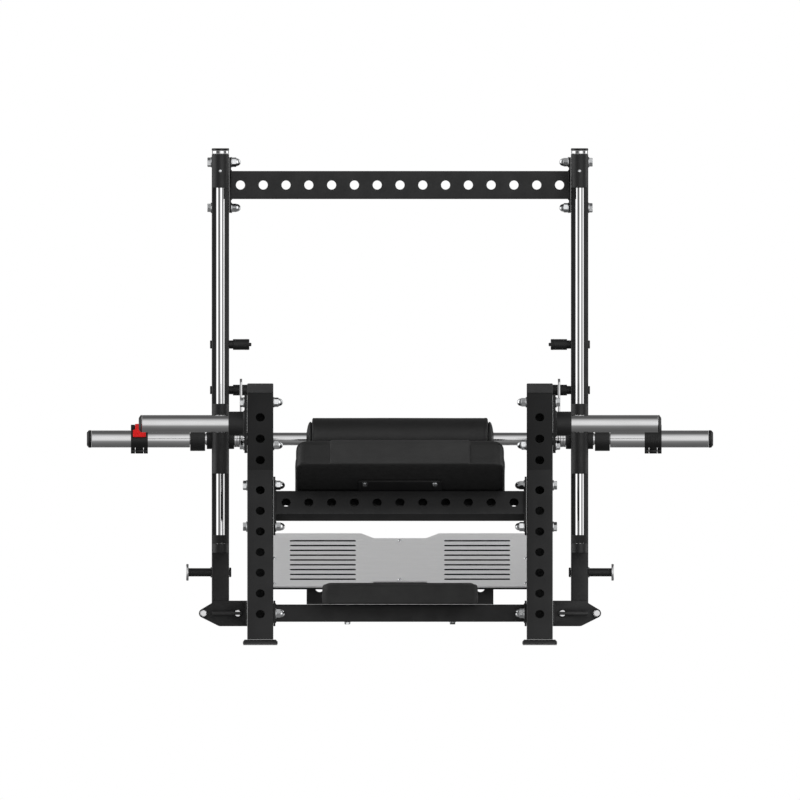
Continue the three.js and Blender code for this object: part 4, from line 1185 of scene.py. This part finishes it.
# ---- Pads ----
def pad_form(name, half_width, front, back, low_z, high_z, corner, edge, slack):
    """A block with upright sides, a rounded top edge and a small radius at the bottom."""
    levels = [(0.0025, low_z), (0.0, low_z + 0.0025)]
    levels += [(edge * (1 - math.sin(a)), high_z - edge * (1 - math.cos(a)) - slack)
               for a in even_steps(math.pi / 2, 0, 6)]
    bm = bmesh.new()
    rings = []
    for inset, z in levels:
        shrink = inset + slack
        loop = rectangle(2 * (half_width - shrink), back - front - 2 * shrink, max(corner - inset * 0.6, 0.01),
                         0, (front + back) / 2)
        rings.append([bm.verts.new((x, y, z)) for x, y in loop])
    skin(bm, rings, caps=True)
    return mesh_object(name, bm)


def inflated(obj, held_below, pressure=4.0, reach=0.004, frames=20):
    """Swells a closed form as foam under a tight cover. Points under held_below stay put, and the
    others move outwards by up to reach, inwards by up to DIP and along the surface by up to SLIP."""
    modified(obj, "REMESH", mode="VOXEL", voxel_size=0.006)
    start = [(v.co.copy(), v.normal.copy()) for v in obj.data.vertices]
    group = obj.vertex_groups.new(name="held")
    group.add([v.index for v in obj.data.vertices if v.co.z < held_below], 1.0, "REPLACE")
    cloth = obj.modifiers.new("cover", "CLOTH")
    settings = cloth.settings
    settings.quality = 5
    settings.mass = 0.3
    settings.use_pressure = True
    settings.uniform_pressure_force = pressure
    settings.vertex_group_mass = "held"
    settings.effector_weights.gravity = 0
    cloth.point_cache.frame_start = 1
    cloth.point_cache.frame_end = frames
    scene = bpy.context.scene
    for step in range(1, frames + 1):
        scene.frame_set(step)
    applied(obj)
    for vertex, (origin, normal) in zip(obj.data.vertices, start):
        way = vertex.co - origin
        swell = way.dot(normal)
        slip = way - normal * swell
        if slip.length > SLIP:
            slip = slip.normalized() * SLIP
        vertex.co = origin + normal * min(max(swell, -DIP), reach) + slip
    scene.frame_set(1)


def smooth_step(value, start, stop):
    t = min(max((value - start) / (stop - start), 0), 1)
    return t * t * (3 - 2 * t)


def sewn(obj, seams, low_z, panel_rise):
    """Sinks the seams, each (axis number, place), lifts the middle panel and gives it its own vinyl."""
    for material in (SIDE_VINYL, PANEL_VINYL):
        obj.data.materials.append(material)
    bm = bmesh.new()
    bm.from_mesh(obj.data)
    for axis, at in seams:
        for offset in (-0.0036, -0.0018, -0.0007, 0.0007, 0.0018, 0.0036):
            point, normal = Vector(), Vector()
            point[axis], normal[axis] = at + offset, 1
            bmesh.ops.bisect_plane(bm, geom=bm.verts[:] + bm.edges[:] + bm.faces[:],
                                   plane_co=point, plane_no=normal)
    bm.normal_update()
    moves = []
    for vertex in bm.verts:
        free = smooth_step(vertex.co.z, low_z + 0.002, low_z + 0.012)
        push = panel_rise * smooth_step(PANEL_X - abs(vertex.co.x), 0.0, 0.005) * free
        for axis, at in seams:
            gap = (vertex.co[axis] - at) / 0.0016
            push -= (0.0005 if axis == 2 else 0.0011) * math.exp(-gap * gap) * free
        moves.append(vertex.normal * push)
    for vertex, move in zip(bm.verts, moves):
        vertex.co += move
    for face in bm.faces:
        centre = face.calc_center_median()
        inside = abs(centre.x) < PANEL_X and centre.z > low_z + 0.004
        face.material_index = 1 if inside or not panel_rise else 0
    bm.to_mesh(obj.data)
    bm.free()
    modified(obj, "SUBSURF", levels=1).data.shade_smooth()


def stitch_rows(name, obj, span_y, low_z, high_z, edge):
    """Thread along both sides of the panel seams, up the front, over the top and down the back."""
    tree = BVHTree.FromPolygons([v.co for v in obj.data.vertices], [p.vertices for p in obj.data.polygons])
    shape = Matrix.Diagonal((STITCH["length"] / 2, STITCH["radius"], STITCH["radius"] * 1.3, 1))
    bm = bmesh.new()
    for x in (seam + offset for seam in (-PANEL_X, PANEL_X) for offset in (-STITCH["offset"], STITCH["offset"])):
        rays = []
        for i in range(2, int((high_z - edge - low_z) / STITCH["step"])):
            z = low_z + i * STITCH["step"]
            rays.append((Vector((x, span_y[0] - 0.05, z)), AXES["y"], AXES["z"]))
            rays.append((Vector((x, span_y[1] + 0.05, z)), -AXES["y"], AXES["z"]))
        for i in range(int((span_y[1] - span_y[0] - 2 * edge) / STITCH["step"])):
            y = span_y[0] + edge + (i + 0.5) * STITCH["step"]
            rays.append((Vector((x, y, high_z + 0.05)), -AXES["z"], AXES["y"]))
        for origin, way, along in rays:
            hit, normal, _, _ = tree.ray_cast(origin, way)
            if hit is None:
                continue
            tangent = (along - normal * along.dot(normal)).normalized()
            basis = Matrix((tangent, normal, tangent.cross(normal))).transposed().to_4x4()
            bmesh.ops.create_uvsphere(bm, u_segments=6, v_segments=4, radius=1.0,
                                      matrix=Matrix.Translation(hit) @ basis @ shape)
    return mesh_object(name, bm, 60)


def make_pad(name, half_width, front, back, low_z, high_z, corner, edge, matrix, rise):
    """A padded piece with its vinyl, drawn lying flat and then moved by matrix."""
    slack = SLACK
    form = pad_form(f"{name}_cushion", half_width, front, back, low_z + 0.0005, high_z, corner, edge, slack)
    inflated(form, low_z + 0.02)
    sewn(form, [(0, -PANEL_X), (0, PANEL_X)] if rise else [(2, low_z + 0.006)], low_z, rise)
    if rise:
        thread = stitch_rows(f"{name}_stitching", form, (front, back), low_z, high_z, edge)
        piece(place(thread, matrix), THREAD)
    nodes = [f"{name}_cushion", f"{name}_board"]
    piece(place(form, matrix), None, nodes, name=f"{name}_cushion_cover")

    loop = rectangle(2 * half_width - 0.03, back - front - 0.03, corner - 0.012, 0, (front + back) / 2)
    lining = slab(f"{name}_lining", loop, 0.0004, bevel=0.0001)
    piece(place(lining, matrix @ Matrix.Translation((0, 0, low_z + 0.0001))), RUBBER)
    staples = bmesh.new()
    margin = 0.009
    for x, y, level in staple_places(half_width - margin, front + margin, back - margin):
        shape = Matrix.Diagonal((0.011, 0.0011, 0.0006, 1) if level else (0.0011, 0.011, 0.0006, 1))
        bmesh.ops.create_cube(staples, size=1.0, matrix=Matrix.Translation((x, y, low_z + 0.0003)) @ shape)
    piece(place(mesh_object(f"{name}_staples", staples), matrix), PAINT)


def staple_places(half_x, front, back, step=0.03):
    """Staples all round, each (x, y, whether it lies along X)."""
    places = []
    for i in range(int(2 * (half_x - step) / step) + 1):
        places += [(i * step + step - half_x, y, True) for y in (front, back)]
    for i in range(int((back - front - 2 * step) / step) + 1):
        places += [(x, front + step + i * step, False) for x in (-half_x, half_x)]
    return places


def make_pads():
    make_pad("back_pad", *BACK_PAD.values(), TILT, 0.0028)
    lower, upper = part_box("seat_pad_cushion")
    make_pad("seat_pad", upper.x, lower.y, upper.y, low("seat_pad_board").z, upper.z, 0.026, 0.007,
             Matrix.Identity(4), 0.0)
    on_beam = TILT @ Matrix.Translation((0, 0, TUBE / 2 + GAP))
    plate = slab("plate", rectangle(MOUNT["width"], MOUNT["length"], 0.01), MOUNT["thick"])
    piece(place(plate, on_beam), PAINT, ["pad_mount_plate"], name="pad_mount_plate_sheet")
    bolts = [on_beam @ Matrix.Translation((x * MOUNT["bolt_x"], y * MOUNT["bolt_y"], 0)) @ DOWN @ Matrix.Scale(0.55, 4)
             for x in (-1, 1) for y in (-1, 1)]
    piece(stamped("pad_mount_bolts", HEAD, bolts))


def make_roll():
    """The foam roll on the bar, with its sewn end discs and a zip seam along the back."""
    hole = BAR_RADIUS + 0.0002
    half, end, radius, disc = ROLL.values()
    lip = half + 0.0062
    ends = [(lip + (end - lip) * math.sin(a), disc * math.cos(a)) for a in even_steps(math.acos(0.4), 0, 10)]
    ends += [
        (half + 0.005, 0.0494), (half + 0.0036, 0.047), (half + 0.0024, 0.047), (half + 0.0016, 0.052),
        (half + 0.0012, 0.057, 0.001), (half - 0.0012, radius, 0.0026), (half - 0.006, radius),
    ]
    swell = [(x, radius - 0.0004 * (1 - math.cos(x / half * math.pi)) / 2)
             for x in even_steps(half - 0.012, 0.012 - half, 60)]
    mirror = [(-a, *rest) for a, *rest in reversed(ends)]
    roll = turned("bar_pad_roll", [(end, hole), *ends, *swell, *mirror, (-end, hole)], sides=160, steps=4)
    for vertex in roll.data.vertices:
        x, y, z = vertex.co
        reach = math.hypot(y, z)
        if reach < 0.05:
            continue
        soft = noise.noise(Vector((x * 9, y * 14, z * 14))) * 0.0007
        crease = noise.noise(Vector((x * 160, y * 25, z * 25))) * 0.0004 * smooth_step(abs(x), half - 0.06, half - 0.01)
        seam = -0.0012 * math.exp(-((math.atan2(z, y) + 0.6) / 0.03) ** 2)
        factor = 1 + (soft * 0.5 + crease + seam) / reach
        vertex.co.y, vertex.co.z = y * factor, z * factor
    piece(moved(roll, 0, BAR.y, BAR.z), ROLL_VINYL, ["bar_pad"], "bar_pad")


# ---- Floor, light and camera ----
def make_floor():
    bm = bmesh.new()
    bmesh.ops.create_grid(bm, x_segments=1, y_segments=1, size=30.0)
    floor = mesh_object("floor", bm)
    n = surface_nodes("pale_floor", specular=0.2, strength=0.3)
    colour = n.ramp(n.noise(3, 3), 0.93, 0.95)
    n.tree.links.new(colour, n.shader.inputs["Base Color"])
    n.tree.links.new(n.range(n.noise(40, 2), 0.7, 0.85), n.shader.inputs["Roughness"])
    painted(floor, n.owner)
    floor.visible_diffuse = False
    floor.visible_glossy = False


def graded(n, value, stops):
    """A smooth grey ramp through stops of (degrees from -180 to 180, brightness)."""
    ramp = n.add("ShaderNodeValToRGB", {"Fac": n.range(value, 0.0, 1.0, -math.pi, math.pi)})
    ramp.color_ramp.interpolation = "EASE"
    elements = ramp.color_ramp.elements
    while len(elements) < len(stops):
        elements.new(0.5)
    for element, (degrees, light) in zip(elements, stops):
        element.position = (degrees + 180) / 360
        element.color = (light, light, light, 1)
    return ramp.outputs["Color"]


def make_light():
    """A pale studio: light panels round the object, brightest level with it, and a white backdrop."""
    world = bpy.data.worlds.new("studio")
    bpy.context.scene.world = world
    n = Nodes(world, "Background")
    way = n.add("ShaderNodeTexCoord").outputs["Generated"]
    parts = n.add("ShaderNodeSeparateXYZ", {0: way}).outputs
    turn = n.math("ARCTAN2", parts["X"], n.math("MULTIPLY", parts["Y"], -1.0))
    climb = n.math("ARCSINE", parts["Z"])
    panels = n.math("MULTIPLY", graded(n, turn, AROUND), graded(n, climb, UPWARD))
    total = n.math("ADD", panels, graded(n, climb, AMBIENT))
    seen = n.add("ShaderNodeLightPath").outputs["Is Camera Ray"]
    mixed = n.add("ShaderNodeMix", {"Factor": seen, 2: total, 3: 1.0}, data_type="FLOAT")
    n.tree.links.new(mixed.outputs[0], n.shader.inputs["Color"])


def make_camera():
    camera = bpy.data.cameras.new("camera")
    camera.type = "ORTHO"
    camera.ortho_scale = VIEW["width"]
    holder_object = linked("camera", camera)
    holder_object.location = (0, -VIEW["distance"], VIEW["height"])
    holder_object.rotation_euler = (math.pi / 2, 0, 0)
    bpy.context.scene.camera = holder_object
    bpy.context.scene.view_settings.view_transform = "Standard"


for make in (
    make_camera, make_light, make_floor, make_uprights, make_feet, make_beams, make_rails, make_rear_posts,
    make_columns, make_outriggers, make_rods, make_carriages, make_bar, make_clamps, make_pegs, make_storage,
    make_foot_plate, make_pads, make_roll,
):
    make()
for template in (HEAD, NUT, SCREW, SMALL_SCREW, FLUSH):
    bpy.data.objects.remove(template)
